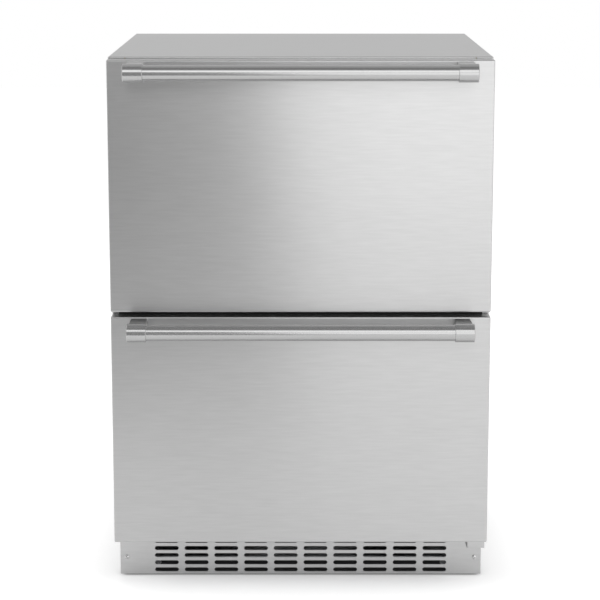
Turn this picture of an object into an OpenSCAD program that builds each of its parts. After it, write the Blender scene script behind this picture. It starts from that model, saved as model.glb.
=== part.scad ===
// Undercounter drawer refrigerator: two insulated drawers on telescopic runners
// over a front-breathing machine bay. Millimetres, +Z up, drawers open towards -Y.
// The origin is on the floor, under the middle of the box that holds the whole object.

/* [Cabinet] */
// Width of the cabinet
cab_w = 606; // [580:1:680]
// Height of the cabinet's top above the floor
cab_h = 876; // [860:1:920]
// Depth of the cabinet, from its front frame to its back
cab_d = 570; // [550:1:640]
// Thickness of the wrapper, back and deck sheets
sheet_t = 1; // [0.6:0.1:1.4]
// Outside radius of the folds in the wrapper and the drawer fronts
bend_r = 2; // [1.6:0.1:4]
// Width of the wrapper's folded front frame
frame_w = 11; // [8:0.5:14]
// Distance from the cabinet's side to a relief slit in the front frame
relief_inset = 27; // [18:1:40]
// Width of a relief slit
relief_w = 1.2; // [0.8:0.1:2]
// Ribs pressed into the back panel
rib_count = 3; // [1:1:5]
// Length of a rib
rib_len = 470; // [300:5:560]
// Width of a rib
rib_w = 22; // [12:1:36]
// Depth of a rib
rib_depth = 4; // [2:0.5:6]
// Depth of the back panel's folded side flanges
back_flange = 14; // [8:1:20]
// Clearance between pieces that seat on each other
seat = 0.2; // [0.1:0.05:0.4]

/* [Insulation] */
// Foam thickness in the side walls
side_foam = 41; // [32:1:50]
// Foam thickness under the top
top_foam = 42; // [32:1:52]
// Foam thickness in front of the back panel
back_foam = 42; // [32:1:52]
// Foam thickness above the deck
floor_foam = 38; // [28:1:48]
// Foam thickness around the machine bay
bay_foam = 36; // [28:1:42]
// Wall thickness of the moulded liner
liner_t = 2; // [1.5:0.1:3]
// Corner radius of the liner
liner_r = 14; // [6:1:20]

/* [Toe space and base] */
// Height of the deck's underside above the floor
toe_h = 94; // [88:1:104]
// Distance from the front frame back to the toe grille's face
toe_setback = 74; // [50:1:90]
// Height of the base pan's underside above the floor
base_z = 20; // [17:1:26]
// Thickness of the base pan
pan_t = 1.5; // [1:0.1:2.5]
// Height of the base pan's upturned edges
pan_edge = 26; // [20:1:34]
// Distance from the toe grille back to the base pan's front edge
pan_setback = 38; // [26:1:50]

/* [Machine bay] */
// Depth of the bay, from the cabinet's back
bay_d = 190; // [186:1:205]
// Height of the bay's ceiling above the floor
bay_h = 285; // [276:1:296]
// How far the rear cover is let in from the cabinet's back
rear_recess = 12; // [10:1:14]
// Length of a vent slot in the rear cover
vent_len = 46; // [30:1:54]
// Width of a vent slot in the rear cover
vent_h = 5; // [3:0.5:7]
// Distance between vent slots, centre to centre, upwards
vent_pitch = 14; // [10:1:18]
// Outside diameter of the cord gland's flange
gland_d = 24; // [20:1:30]
// Diameter of the gland's neck, through the cover
gland_neck = 17; // [13:0.5:18]
// Thickness of the gland's flange
gland_rim = 4; // [2:0.5:6]
// Bore of the cord gland
gland_bore = 9; // [7:0.5:11]

/* [Drawer fronts] */
// Height of the lower drawer front; the upper one takes what is left above it
lower_front_h = 374; // [356:1:400]
// Gap between the two drawer fronts
front_gap = 8; // [5:0.5:11]
// Drop from the cabinet's top to the upper front's top edge
front_drop = 3; // [2:0.5:5]
// How far the lower front hangs below the deck
front_lap = 3; // [1:0.5:6]
// Thickness of a drawer front
front_t = 25; // [20:1:34]
// Gap between a drawer front and the front frame, taken up by the gasket
seal_gap = 5; // [4:0.5:8]
// Width of the hem around the back of a drawer front
hem_w = 9; // [6:0.5:10]
// Distance from a front's edge in to its gasket
gasket_inset = 11; // [10:0.5:13]
// Width of the gasket
gasket_w = 14; // [12:0.5:17]
// Thickness of a front's inner panel
panel_t = 2; // [1.5:0.1:3]
// How far the inner panel's pad reaches into the cabinet
pad_reach = 10; // [6:1:13]
// Clearance around the pad in the opening
pad_clear = 12; // [8:1:20]
// Corner radius of the pad
pad_r = 14; // [6:1:20]
// Height of the mullion between the drawers
mullion_h = 66; // [64:1:74]
// Depth of the mullion
mullion_d = 48; // [30:1:70]

/* [Handles] */
// Diameter of a handle bar
bar_d = 25; // [20:0.5:28]
// Wall of a handle bar
bar_wall = 1.5; // [1:0.1:3]
// Distance from a drawer front's face to the bar's axis
standoff = 45; // [38:1:60]
// Drop from a drawer front's top edge to the bar's axis
bar_drop = 16.5; // [16:0.5:30]
// Wall of the end caps around the bar
cap_wall = 2; // [1.5:0.1:3]
// Length of an end cap
cap_len = 31; // [26:1:40]
// Rounding of an end cap's edges
cap_edge = 1.5; // [0.5:0.1:2]
// Distance from a drawer front's side to an end cap
cap_inset = 29; // [15:1:60]
// How deep the bar goes into an end cap
bar_seat = 20; // [12:1:22]
// Width of a handle post at the drawer front
post_w = 28; // [20:0.5:32]
// Height of a handle post
post_h = 23; // [16:0.5:24]
// Diameter of a handle screw
handle_screw_d = 5; // [4:0.5:6]
// How far a handle screw reaches into its post
handle_screw_len = 12; // [8:0.5:13]

/* [Bins] */
// Wall thickness of the bins
bin_t = 2.5; // [2:0.1:4]
// Corner radius of the bins
bin_r = 8; // [8:1:24]
// Height of the upper bin
upper_bin_h = 215; // [150:1:230]
// Clearance under a bin
bin_clear = 8; // [5:1:14]
// Clearance behind a bin
bin_back_clear = 12; // [6:1:30]
// Width of the rim around a bin's top
rim_w = 6; // [3:0.5:8]
// Thickness of the rim
rim_t = 3; // [2:0.5:5]

/* [Runners] */
// Length of the telescopic runners
runner_len = 400; // [350:1:420]
// Height of a runner
runner_h = 45; // [38:1:50]
// Thickness of a runner, wall to bin
runner_t = 12.7; // [12:0.1:15]
// Sheet thickness of the runner members
runner_sheet = 1.2; // [1:0.1:1.6]
// How far a runner's outer lips reach over the other members
runner_lip = 9.9; // [8:0.1:10.5]
// Running clearance between the runner members
runner_play = 0.5; // [0.3:0.05:0.8]
// Distance from the front frame back to the runners' front ends
runner_start = 16; // [14:1:24]
// Drop from a bin's top to its runner's middle
runner_drop = 31; // [30:1:40]
// Clearance of the lower runners above the machine bay's step
step_clear = 16; // [6:1:20]

/* [Toe grille] */
// Clearance under the toe grille
grille_lift = 3; // [2:0.5:6]
// Sheet thickness of the toe grille
grille_t = 1; // [0.8:0.1:1.5]
// Length of a slot
slot_len = 40; // [30:0.5:43]
// Width of a slot
slot_h = 7; // [5:0.5:8]
// Metal between two slots in a row
slot_bar = 10; // [7:0.5:14]
// Metal between two rows of slots
row_bar = 5.5; // [4:0.5:7]
// Metal under the lowest row
row_foot = 4; // [3:0.5:8]
// Slots in a row
slot_count = 10; // [6:1:10]
// Rows of slots
row_count = 6; // [3:1:6]
// Depth of the grille's folded edges
grille_fold = 12; // [8:1:20]
// Diameter of a grille screw's head
screw_head_d = 7.5; // [6:0.5:9]
// Diameter of a grille screw
screw_d = 4; // [3:0.5:4.5]
// Distance from the cabinet's side to a grille screw
screw_side = 11; // [9:0.5:16]
// Height of the grille screws above the grille's lower edge
screw_rise = 29.5; // [26:0.5:36]

/* [Corner bracket] */
// Width of the bracket under the deck's right corner
bracket_w = 29; // [20:1:40]
// Depth of the bracket
bracket_d = 32; // [20:1:44]
// How far the bracket hangs below the deck
bracket_drop = 22; // [14:1:30]
// Sheet thickness of the bracket
bracket_t = 2.5; // [1.5:0.1:4]
// Distance from the cabinet's side to the bracket
bracket_side = 1; // [0:0.5:8]
// Corner radius of the bracket
bracket_r = 6; // [3:0.5:10]

/* [Levelling feet] */
// Diameter of a foot's pad
foot_d = 38; // [28:1:46]
// Thickness of a foot's pad
foot_pad = 6; // [4:0.5:9]
// Width of a foot's hexagon across its flats
foot_hex = 17; // [14:1:22]
// Diameter of a foot's stud
stud_d = 10; // [8:1:12]
// Running clearance around a stud
stud_play = 0.05; // [0.02:0.01:0.1]
// Length that a foot can be screwed out
foot_travel = 25; // [15:1:30]
// Height of the nut that holds a stud
nut_h = 14; // [11:1:20]
// Diameter of that nut
nut_d = 20; // [16:1:26]
// Distance from the cabinet's side to a foot's middle
foot_side = 45; // [35:1:60]
// Distance from the base pan's front edge, and from the rear cover, to a foot's middle
foot_end = 27; // [20:1:32]

/* [Compressor and condenser] */
// Diameter of the compressor's shell
comp_d = 146; // [120:1:150]
// Height of the compressor's shell
comp_h = 160; // [140:1:168]
// Distance from the cabinet's side to the compressor's axis
comp_side = 131; // [113:1:138]
// Width of the terminal cover on the compressor's side
terminal_w = 48; // [30:1:60]
// How far the terminal cover stands out
terminal_d = 16; // [10:1:22]
// Thickness of the compressor's foot plate
comp_plate = 2.5; // [2:0.5:4]
// Height of the rubber grommets under the compressor
grommet_h = 10; // [7:1:14]
// Diameter of the grommets
grommet_d = 22; // [16:1:26]
// Width of the condenser
cond_w = 180; // [160:1:190]
// Height of the condenser
cond_h = 186; // [160:1:200]
// Depth of the condenser
cond_t = 38; // [30:1:42]
// Fins on the condenser
cond_fins = 22; // [8:1:28]
// Distance from the cabinet's side to the condenser
cond_side = 22; // [14:1:30]
// Air gap in front of the condenser
cond_gap = 6; // [3:1:10]
// Diameter of the refrigerant tube in the coils
tube_d = 8; // [6:0.5:10]
// Thickness of a coil's fins
fin_t = 0.8; // [0.5:0.1:1.2]
// Diameter of the condenser fan
fan_d = 140; // [110:1:150]
// Blades on each fan
blade_count = 5; // [3:1:7]
// Pitch of the fan blades in degrees
blade_pitch = 28; // [18:1:34]
// Thickness of a fan blade
blade_t = 1.6; // [1.2:0.1:2.4]
// Depth of a fan's hub
hub_len = 16; // [14:1:20]
// Clearance between a fan's blades and what is around them
blade_gap = 3; // [2:0.5:4]
// Clearance between a fan's hub and what holds its motor
motor_gap = 4; // [3:0.5:6]
// Thickness of the condenser fan's shroud
shroud_t = 1.5; // [1:0.1:2.5]
// Width of the shroud's plate around the fan
shroud_rim = 10; // [7:0.5:11]
// Diameter of a fan motor's shaft
shaft_d = 5; // [4:0.5:7]
// Running clearance around a fan motor's shaft
shaft_play = 0.05; // [0.02:0.01:0.1]
// Diameter of the condenser fan's motor
motor_d = 52; // [40:1:60]
// Length of the condenser fan's motor
motor_len = 32; // [24:1:40]

/* [Evaporator] */
// Depth of the space for the evaporator, behind its cover
evap_space = 64; // [60:1:72]
// Wall of the evaporator's cover
evap_wall = 2; // [1.5:0.1:3]
// Height of the evaporator's cover
evap_cover_h = 310; // [296:1:320]
// Width of the evaporator coil
evap_w = 380; // [300:1:420]
// Height of the evaporator coil
evap_h = 148; // [120:1:160]
// Height of the coil above the lower edge of its cover
evap_lift = 22; // [18:1:28]
// Depth of the evaporator coil
evap_t = 42; // [30:1:48]
// Fins on the evaporator
evap_fins = 24; // [8:1:30]
// Diameter of the evaporator fan
evap_fan_d = 100; // [80:1:112]
// Distance from the cover's ceiling down to the fan
evap_fan_drop = 7; // [5:1:14]
// Bars across the fan's opening, on each side of the middle one
grille_bars = 4; // [2:1:5]
// Return slots under the coil
return_slots = 9; // [5:1:11]
// Width of a return slot
return_h = 8; // [5:1:10]
// Wall between two return slots
return_bar = 10; // [7:1:14]
// Diameter of the evaporator fan's motor
evap_motor_d = 36; // [28:1:44]

/* [Drain, lines and electrics] */
// Distance from the liner's back wall to the drain
drain_inset = 24; // [18:1:34]
// Inside diameter of the drain tube
drain_d = 12; // [8:1:16]
// Wall of the drain tube
drain_wall = 1.5; // [1:0.1:2.5]
// Clearance at the condensate tray's left and right sides
tray_gap = 6; // [3:1:12]
// Depth of the condensate tray, front to back
tray_d = 150; // [110:1:155]
// Height of the condensate tray
tray_h = 28; // [18:1:34]
// Corner radius of the condensate tray
tray_r = 10; // [5:1:16]
// Wall of the condensate tray
tray_t = 2; // [1.5:0.1:3]
// Diameter of the lines in the bay
line_d = 6.5; // [5:0.5:8]
// Bend radius of the lines
line_r = 16; // [12:1:20]
// Diameter of the filter drier
drier_d = 19; // [14:1:22]
// Length of the filter drier
drier_len = 96; // [70:1:120]
// Height of the drier above the bend that leads to it
drier_rise = 8; // [4:1:16]
// Length of the drier's cone at each end
drier_cone = 10; // [6:1:16]
// Width of the control box
box_w = 130; // [100:1:150]
// Distance from the cabinet's side to the control box
box_side = 76; // [60:1:90]
// Height of the control box
box_h = 68; // [50:1:72]
// Depth of the control box
box_d = 40; // [30:1:50]
// Width of the touch control
touch_w = 220; // [160:1:300]
// Depth of the touch control
touch_d = 44; // [34:1:60]
// Height of the touch control
touch_h = 15; // [10:1:18]
// Distance from the front frame back to the touch control
touch_set = 20; // [14:1:30]
// Distance from the touch control back to the light strip
light_gap = 26; // [15:1:40]
// Length of the light strip
light_w = 300; // [200:1:400]
// Width of the light strip
light_d = 22; // [14:1:34]
// Height of the light strip
light_h = 8; // [5:1:12]

/* [Hidden] */
$fn = 64;
// How far a cut runs past the face it opens
over = 1;

// Planes across the depth. The whole object, handles included, is centred on Y.
cap_d = bar_d + 2 * cap_wall;
whole_d = cab_d + seal_gap + front_t + standoff + cap_d / 2;
y_back = whole_d / 2;
y_frame = y_back - cab_d;
y_skin_back = y_frame - seal_gap;
y_face = y_skin_back - front_t;
y_bar = y_face - standoff;
y_grille = y_frame + toe_setback;
y_toe = y_grille + grille_t + seat;
y_bay = y_back - bay_d;
y_cover = y_back - rear_recess;
y_pad = y_frame + pad_reach;
y_step = y_bay - sheet_t - bay_foam - liner_t;
y_liner_back = y_back - sheet_t - back_foam - liner_t;
y_evap = y_liner_back - seat - evap_space;

// Half widths
half_w = cab_w / 2;
inner_half = half_w - sheet_t - seat;
liner_half = half_w - sheet_t - side_foam - liner_t;
runner_out = liner_half - seat;
bin_half = runner_out - runner_t - seat;
flange_half = half_w - frame_w - seat;

// Heights
front_bottom = toe_h - front_lap;
lower_z = [front_bottom, front_bottom + lower_front_h];
upper_z = [lower_z[1] + front_gap, cab_h - front_drop];
mullion_z = [upper_z[0] - (front_gap + mullion_h) / 2, upper_z[0] - (front_gap - mullion_h) / 2];
liner_z = [toe_h + sheet_t + floor_foam + liner_t, cab_h - sheet_t - top_foam - liner_t];
step_z = bay_h + sheet_t + bay_foam + liner_t;
pan_top = base_z + pan_t;
back_z = [bay_h + sheet_t + seat, cab_h - sheet_t - seat];
upper_bin_z = [mullion_z[1] + bin_clear, mullion_z[1] + bin_clear + upper_bin_h];
upper_runner_z = upper_bin_z[1] - runner_drop;
lower_runner_z = step_z + step_clear + runner_h / 2;
lower_bin_z = [liner_z[0] + bin_clear, lower_runner_z + runner_drop];
upper_bar_z = upper_z[1] - bar_drop;
lower_bar_z = lower_z[1] - bar_drop;

// The bay: condenser and fan on the left, drain tray in the middle, compressor on the right
cond_x = [-half_w + cond_side, -half_w + cond_side + cond_w];
cond_y = [y_bay + cond_gap, y_bay + cond_gap + cond_t];
cond_z = [pan_top + seat, pan_top + seat + cond_h];
fan_at = [(cond_x[0] + cond_x[1]) / 2, (cond_z[0] + cond_z[1]) / 2];
cond_passes = 6;
coil_pitch = cond_h / cond_passes;
coil_mid_y = (cond_y[0] + cond_y[1]) / 2;
drier_at = [cond_x[1] + line_r + drier_d / 2, coil_mid_y + 2 * line_r + 4];
drier_z = [cond_z[0] + coil_pitch / 2 + line_r + drier_rise,
    cond_z[0] + coil_pitch / 2 + line_r + drier_rise + drier_len];
shroud_y = [cond_y[1] + seat, cond_y[1] + seat + shroud_t];
arm_y = [shroud_y[1] + hub_len + 2 * motor_gap, shroud_y[1] + hub_len + 2 * motor_gap + 2 * shroud_t];
motor_y = [arm_y[1] + seat, arm_y[1] + seat + motor_len];
comp_y = y_bay + (bay_d - rear_recess) / 2;
comp_x = half_w - comp_side;
comp_z = pan_top + grommet_h;
shell_z = comp_z + comp_plate;
suction_x = comp_x + comp_d * 0.22;
discharge_x = comp_x - comp_d * 0.22;
stub_z = shell_z + comp_h + 6;
drain_at = [0, y_liner_back - drain_inset];
gland_x = -half_w + 2 * gland_d;
gland_z = pan_top + pan_edge / 2 + gland_d;

// Evaporator, under its fan behind the cover
evap_cover_z = [liner_z[1] - seat - evap_cover_h, liner_z[1] - seat];
evap_z = [evap_cover_z[0] + evap_lift, evap_cover_z[0] + evap_lift + evap_h];
evap_fan_z = evap_cover_z[1] - evap_wall - evap_fan_drop - evap_fan_d / 2;
evap_blade_y = y_evap + evap_wall + blade_gap;
evap_motor_y = [evap_blade_y + hub_len + motor_gap, y_liner_back - seat];

// ---------------------------------------------------------------- shapes

// A block given by its span along each axis
module block(x, y, z)
    translate([x[0], y[0], z[0]])
        cube([x[1] - x[0], y[1] - y[0], z[1] - z[0]]);

// Carry a profile drawn in X and Z along Y
module along_y(y)
    translate([0, y[1], 0])
        rotate([90, 0, 0])
            linear_extrude(y[1] - y[0])
                children();

// Carry a profile drawn in Y and Z along X
module along_x(x)
    translate([x[0], 0, 0])
        rotate([90, 0, 90])
            linear_extrude(x[1] - x[0])
                children();

// Carry a profile drawn in X and Y along Z
module along_z(z)
    translate([0, 0, z[0]])
        linear_extrude(z[1] - z[0])
            children();

// A rectangle given by its spans
module rect(x, y)
    translate([x[0], y[0]])
        square([x[1] - x[0], y[1] - y[0]]);

// A rectangle with round corners
module round_rect(x, y, r) {
    rect([x[0] + r, x[1] - r], y);
    rect(x, [y[0] + r, y[1] - r]);
    for (cx = [x[0] + r, x[1] - r], cy = [y[0] + r, y[1] - r])
        translate([cx, cy])
            circle(r);
}

// A slot with round ends, lying along the first axis
module obround(length, width) {
    square([length - width, width], center = true);
    for (side = [-1, 1])
        translate([side * (length - width) / 2, 0])
            circle(width / 2);
}

// A round bar along Y between two planes
module rod_y(x, y, z, d)
    translate([x, y[1], z])
        rotate([90, 0, 0])
            cylinder(h = y[1] - y[0], d = d);

// A round bar along X between two planes
module rod_x(x, y, z, d)
    translate([x[0], y, z])
        rotate([0, 90, 0])
            cylinder(h = x[1] - x[0], d = d);

// An upright round bar
module rod_z(x, y, z, d)
    translate([x, y, z[0]])
        cylinder(h = z[1] - z[0], d = d);

// Both sides of something drawn on the right
module both_sides() {
    children();
    mirror([1, 0, 0])
        children();
}

// A block with its front edges and its long upper edges folded to one radius
module folded_block(x, y, z, r) {
    deep = [y[0], y[1] + 2 * r];
    intersection() {
        along_y(y) round_rect(x, z, r);
        along_z(z) round_rect(x, deep, r);
        along_x(x) round_rect(deep, z, r);
    }
}

// ---------------------------------------------------------------- cabinet

// The wrapper's solid, inset by a sheet where it is the hollow
module wrapper_block(inset, past)
    folded_block([-half_w + inset, half_w - inset], [y_frame + inset, y_back + past],
        [-2 * bend_r, cab_h - inset], bend_r - inset);

module outer_wrapper() {
    color([0.74, 0.74, 0.75])
    difference() {
        wrapper_block(0, 0);
        wrapper_block(sheet_t, over);
        block([-half_w, half_w], [y_frame - over, y_back + over], [-3 * bend_r, base_z]);
        block([-half_w - over, half_w + over], [y_frame - over, y_toe], [0, toe_h]);
        block([frame_w - half_w, half_w - frame_w], [y_frame - over, y_frame + sheet_t + over],
            [0, cab_h - frame_w]);
        for (side = [-1, 1])
            translate([side * (half_w - relief_inset), 0, 0])
                block([-relief_w / 2, relief_w / 2], [y_frame - over, y_frame + sheet_t + over],
                    [cab_h - frame_w - over, cab_h - bend_r / 2]);
    }
}

// The sheet behind the foam, with flanged sides and pressed-in crossways ribs
module back_panel() {
    color([0.62, 0.64, 0.66])
    intersection() {
        wrapper_block(sheet_t + seat, 0);
        difference() {
            union() {
                block([-inner_half, inner_half], [y_back - sheet_t, y_back], back_z);
                for (x = [-inner_half, inner_half - sheet_t])
                    block([x, x + sheet_t], [y_back - back_flange, y_back], back_z);
                for (i = [1:rib_count])
                    back_rib(rib_z(i), 0, y_back - sheet_t - rib_depth);
            }
            for (i = [1:rib_count])
                back_rib(rib_z(i), sheet_t, y_back - rib_depth);
        }
    }
}

// Height of a rib's middle, spread evenly over the panel
function rib_z(i) = back_z[0] + i * (back_z[1] - back_z[0]) / (rib_count + 1);

// One rib of the back panel, inset by a sheet for its hollow
module back_rib(z, inset, y)
    along_y([y, y_back + inset])
        translate([0, z])
            obround(rib_len - 2 * inset, rib_w - 2 * inset);

// The sheet floor of the insulated box: flat over the toe space, then up and over the bay
module bottom_deck() {
    y0 = y_frame + bend_r + seat;
    y1 = y_back - sheet_t - seat;
    color([0.62, 0.64, 0.66])
    difference() {
        union() {
            along_x([-inner_half, inner_half])
                polygon([[y0, toe_h], [y_bay, toe_h], [y_bay, bay_h], [y1, bay_h],
                    [y1, bay_h + sheet_t], [y_bay - sheet_t, bay_h + sheet_t],
                    [y_bay - sheet_t, toe_h + sheet_t], [y0, toe_h + sheet_t]]);
            along_x([-flange_half, flange_half])
                polygon([[y_frame, toe_h], [y0 + over, toe_h], [y0 + over, toe_h + sheet_t],
                    [y_frame + sheet_t, toe_h + sheet_t], [y_frame + sheet_t, toe_h + frame_w],
                    [y_frame, toe_h + frame_w]]);
        }
        rod_z(drain_at[0], drain_at[1], [bay_h - over, bay_h + sheet_t + over],
            drain_d + 2 * drain_wall + 2 * seat);
    }
}

// The hollow of the liner in side view, grown by a wall
module liner_side(grow, front)
    polygon([[front, liner_z[0] - grow], [y_step + grow, liner_z[0] - grow],
        [y_step + grow, step_z - grow], [y_liner_back + grow, step_z - grow],
        [y_liner_back + grow, liner_z[1] + grow], [front, liner_z[1] + grow]]);

// The liner's hollow, grown by a wall, with round corners along its depth
module liner_block(grow, front)
    intersection() {
        along_x([-liner_half - grow, liner_half + grow])
            liner_side(grow, front);
        along_y([front, y_liner_back + grow])
            round_rect([-liner_half - grow, liner_half + grow],
                [liner_z[0] - grow, liner_z[1] + grow], liner_r + grow);
    }

module cabinet_foam() {
    y0 = y_frame + liner_t + seat;
    y1 = y_back - sheet_t - seat;
    z0 = toe_h + sheet_t + seat;
    z1 = bay_h + sheet_t + seat;
    y_up = y_bay - sheet_t - seat;
    side = inner_half - sheet_t - seat;
    color([0.93, 0.86, 0.62])
    difference() {
        along_x([-side, side])
            polygon([[y0, z0], [y_up, z0], [y_up, z1], [y1, z1],
                [y1, cab_h - sheet_t - seat], [y0, cab_h - sheet_t - seat]]);
        liner_block(liner_t + seat, y0 - over);
        rod_z(drain_at[0], drain_at[1], [bay_h, step_z], drain_d + 2 * drain_wall + 2 * seat);
        for (i = [1:rib_count])
            back_rib(rib_z(i), -seat, y_back - sheet_t - rib_depth - seat);
    }
}

module cabinet_liner() {
    flange_z = [toe_h + frame_w + seat, cab_h - frame_w - seat];
    color([0.93, 0.93, 0.92])
    difference() {
        union() {
            liner_block(liner_t, y_frame + liner_t / 2);
            block([-flange_half, flange_half], [y_frame, y_frame + liner_t], flange_z);
        }
        liner_block(0, y_frame - over);
        both_sides()
            block([liner_half, half_w], [y_frame - over, y_frame + liner_t],
                [mullion_z[0] - seat, mullion_z[1] + seat]);
        rod_z(drain_at[0], drain_at[1], [bay_h, step_z + over], drain_d);
    }
}

// The crossbar that both drawers close against
module center_mullion() {
    edge = mullion_d / 6;
    y = [y_frame + liner_t, y_frame + mullion_d];
    color([0.10, 0.10, 0.11]) {
        block([-flange_half, flange_half], [y_frame, y_frame + liner_t], mullion_z);
        along_x([seat - liner_half, liner_half - seat])
            polygon([[y[0], mullion_z[0]], [y[1] - edge, mullion_z[0]],
                [y[1], mullion_z[0] + edge], [y[1], mullion_z[1] - edge],
                [y[1] - edge, mullion_z[1]], [y[0], mullion_z[1]]]);
    }
}

// ---------------------------------------------------------------- base

foot_y = [y_grille + pan_setback + foot_end, y_cover - foot_end];
foot_x = half_w - foot_side;

// The tray that carries the machinery, with ears for the grille and nuts for the feet
module base_pan() {
    y0 = y_grille + pan_setback;
    y1 = y_cover - sheet_t - seat;
    ear_y = y_grille + grille_t + seat;
    side = inner_half - pan_t;
    color([0.60, 0.62, 0.64])
    difference() {
        union() {
            block([-inner_half, inner_half], [y0, y1], [base_z, pan_top]);
            both_sides() {
                block([side, inner_half], [ear_y, y1], [base_z, base_z + pan_edge]);
                block([half_w - 2 * screw_side - screw_d, inner_half], [ear_y, ear_y + pan_t],
                    [base_z, base_z + pan_edge]);
            }
            block([-inner_half, inner_half], [y1 - pan_t, y1], [base_z, base_z + pan_edge]);
            both_sides()
                for (y = foot_y)
                    rod_z(foot_x, y, [pan_top, pan_top + nut_h], nut_d);
        }
        both_sides() {
            for (y = foot_y)
                rod_z(foot_x, y, [base_z - over, pan_top + nut_h + over],
                    stud_d + 2 * stud_play);
            rod_y(half_w - screw_side, [ear_y - over, ear_y + pan_t + over],
                grille_lift + screw_rise, screw_d);
        }
    }
}

// One levelling foot: pad, hexagon and stud
module foot(x, y) {
    hex_z = [foot_pad, base_z - seat];
    stud_top = pan_top + nut_h + 0.8 * foot_travel;
    translate([x, y, 0]) {
        rotate_extrude()
            polygon([[0, 0], [foot_d / 2 - 1, 0], [foot_d / 2, 1], [foot_d / 2, foot_pad / 2],
                [foot_hex / 2, foot_pad], [0, foot_pad]]);
        translate([0, 0, hex_z[0]])
            cylinder(h = hex_z[1] - hex_z[0], d = foot_hex / cos(30), $fn = 6);
        translate([0, 0, foot_pad])
            cylinder(h = stud_top - foot_pad, d = stud_d);
    }
}

module front_left_foot() color([0.70, 0.70, 0.72]) foot(-foot_x, foot_y[0]);
module front_right_foot() color([0.70, 0.70, 0.72]) foot(foot_x, foot_y[0]);
module rear_left_foot() color([0.70, 0.70, 0.72]) foot(-foot_x, foot_y[1]);
module rear_right_foot() color([0.70, 0.70, 0.72]) foot(foot_x, foot_y[1]);

// The slotted sheet across the toe space, folded back along its edges
module toe_grille() {
    z = [grille_lift, toe_h - seat];
    pitch_x = slot_len + slot_bar;
    pitch_z = slot_h + row_bar;
    fold = [y_grille, y_grille + grille_fold];
    color([0.72, 0.72, 0.73])
    difference() {
        union() {
            along_y([y_grille, y_grille + grille_t])
                difference() {
                    rect([-half_w, half_w], z);
                    for (i = [0:slot_count - 1], j = [0:row_count - 1])
                        translate([(i - (slot_count - 1) / 2) * pitch_x,
                            grille_lift + row_foot + slot_h / 2 + j * pitch_z])
                            obround(slot_len, slot_h);
                }
            block([-half_w + 3 * screw_side, half_w - 3 * screw_side], fold,
                [z[1] - grille_t, z[1]]);
            block([-half_w + 3 * screw_side, half_w - 3 * screw_side], fold,
                [z[0], z[0] + grille_t]);
        }
        both_sides()
            rod_y(half_w - screw_side, [y_grille - over, y_grille + grille_t + over],
                grille_lift + screw_rise, screw_d + 2 * seat);
    }
}

// A pan-head screw lying along Y, its head in front of the plane y
module pan_screw(x, y, z, head_d, d, length) {
    head_h = head_d * 0.36;
    translate([x, y, z])
        rotate([90, 0, 0])
            rotate_extrude()
                difference() {
                    union() {
                        intersection() {
                            rect([0, head_d / 2], [0, head_h]);
                            translate([0, head_h - head_d * 0.8])
                                circle(head_d * 0.8);
                        }
                        rect([0, d / 2], [-length, head_h / 2]);
                    }
                    rect([0, head_d * 0.12], [head_h * 0.5, head_h + over]);
                }
}

module grille_screws() {
    color([0.80, 0.80, 0.81])
        both_sides()
            pan_screw(half_w - screw_side, y_grille - seat / 2, grille_lift + screw_rise,
                screw_head_d, screw_d - 2 * stud_play, grille_t + pan_t + 4);
}

// The folded bracket under the deck's right-hand front corner
module corner_bracket() {
    x = [half_w - bracket_side - bracket_w, half_w - bracket_side];
    z = [toe_h - seat - bracket_drop, toe_h - seat];
    y = [y_frame + seat, y_frame + bracket_d];
    color([0.72, 0.72, 0.73]) {
        along_y([y[0], y[0] + bracket_t])
            difference() {
                rect(x, z);
                difference() {
                    rect([x[1] - bracket_r, x[1] + over], [z[0] - over, z[0] + bracket_r]);
                    translate([x[1] - bracket_r, z[0] + bracket_r])
                        circle(bracket_r);
                }
            }
        block(x, y, [z[1] - bracket_t, z[1]]);
        block([x[0], x[0] + bracket_t], y, z);
    }
}

// The louvred cover behind the machinery
module bay_cover() {
    z = [pan_top + seat, bay_h - seat];
    rows = floor((z[1] - z[0] - 2 * gland_d - 2 * vent_pitch) / vent_pitch);
    columns = floor(2 * inner_half / (vent_len + vent_pitch)) - 1;
    color([0.62, 0.64, 0.66])
    along_y([y_cover - sheet_t, y_cover])
        difference() {
            rect([-inner_half, inner_half], z);
            for (i = [0:columns - 1], j = [0:rows - 1])
                translate([(i - (columns - 1) / 2) * (vent_len + vent_pitch),
                    z[1] - 2 * vent_pitch - j * vent_pitch])
                    obround(vent_len, vent_h);
            translate([gland_x, gland_z])
                circle(d = gland_neck + 2 * seat);
        }
}

// A bushing for the supply cord: flange outside, neck through the cover, nut inside
module cord_gland() {
    inside = sheet_t + 3 * gland_rim;
    color([0.12, 0.12, 0.13])
        translate([gland_x, y_cover, gland_z])
            rotate([90, 0, 0])
                rotate_extrude()
                    difference() {
                        union() {
                            rect([0, gland_d / 2], [-gland_rim, -seat]);
                            rect([0, gland_neck / 2], [-seat - over, inside]);
                            rect([0, gland_d / 2 - 1], [sheet_t + seat, inside - 1.5 * gland_rim]);
                        }
                        rect([-over, gland_bore / 2], [-gland_rim - over, inside + over]);
                    }
}

// ---------------------------------------------------------------- refrigeration

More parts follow.
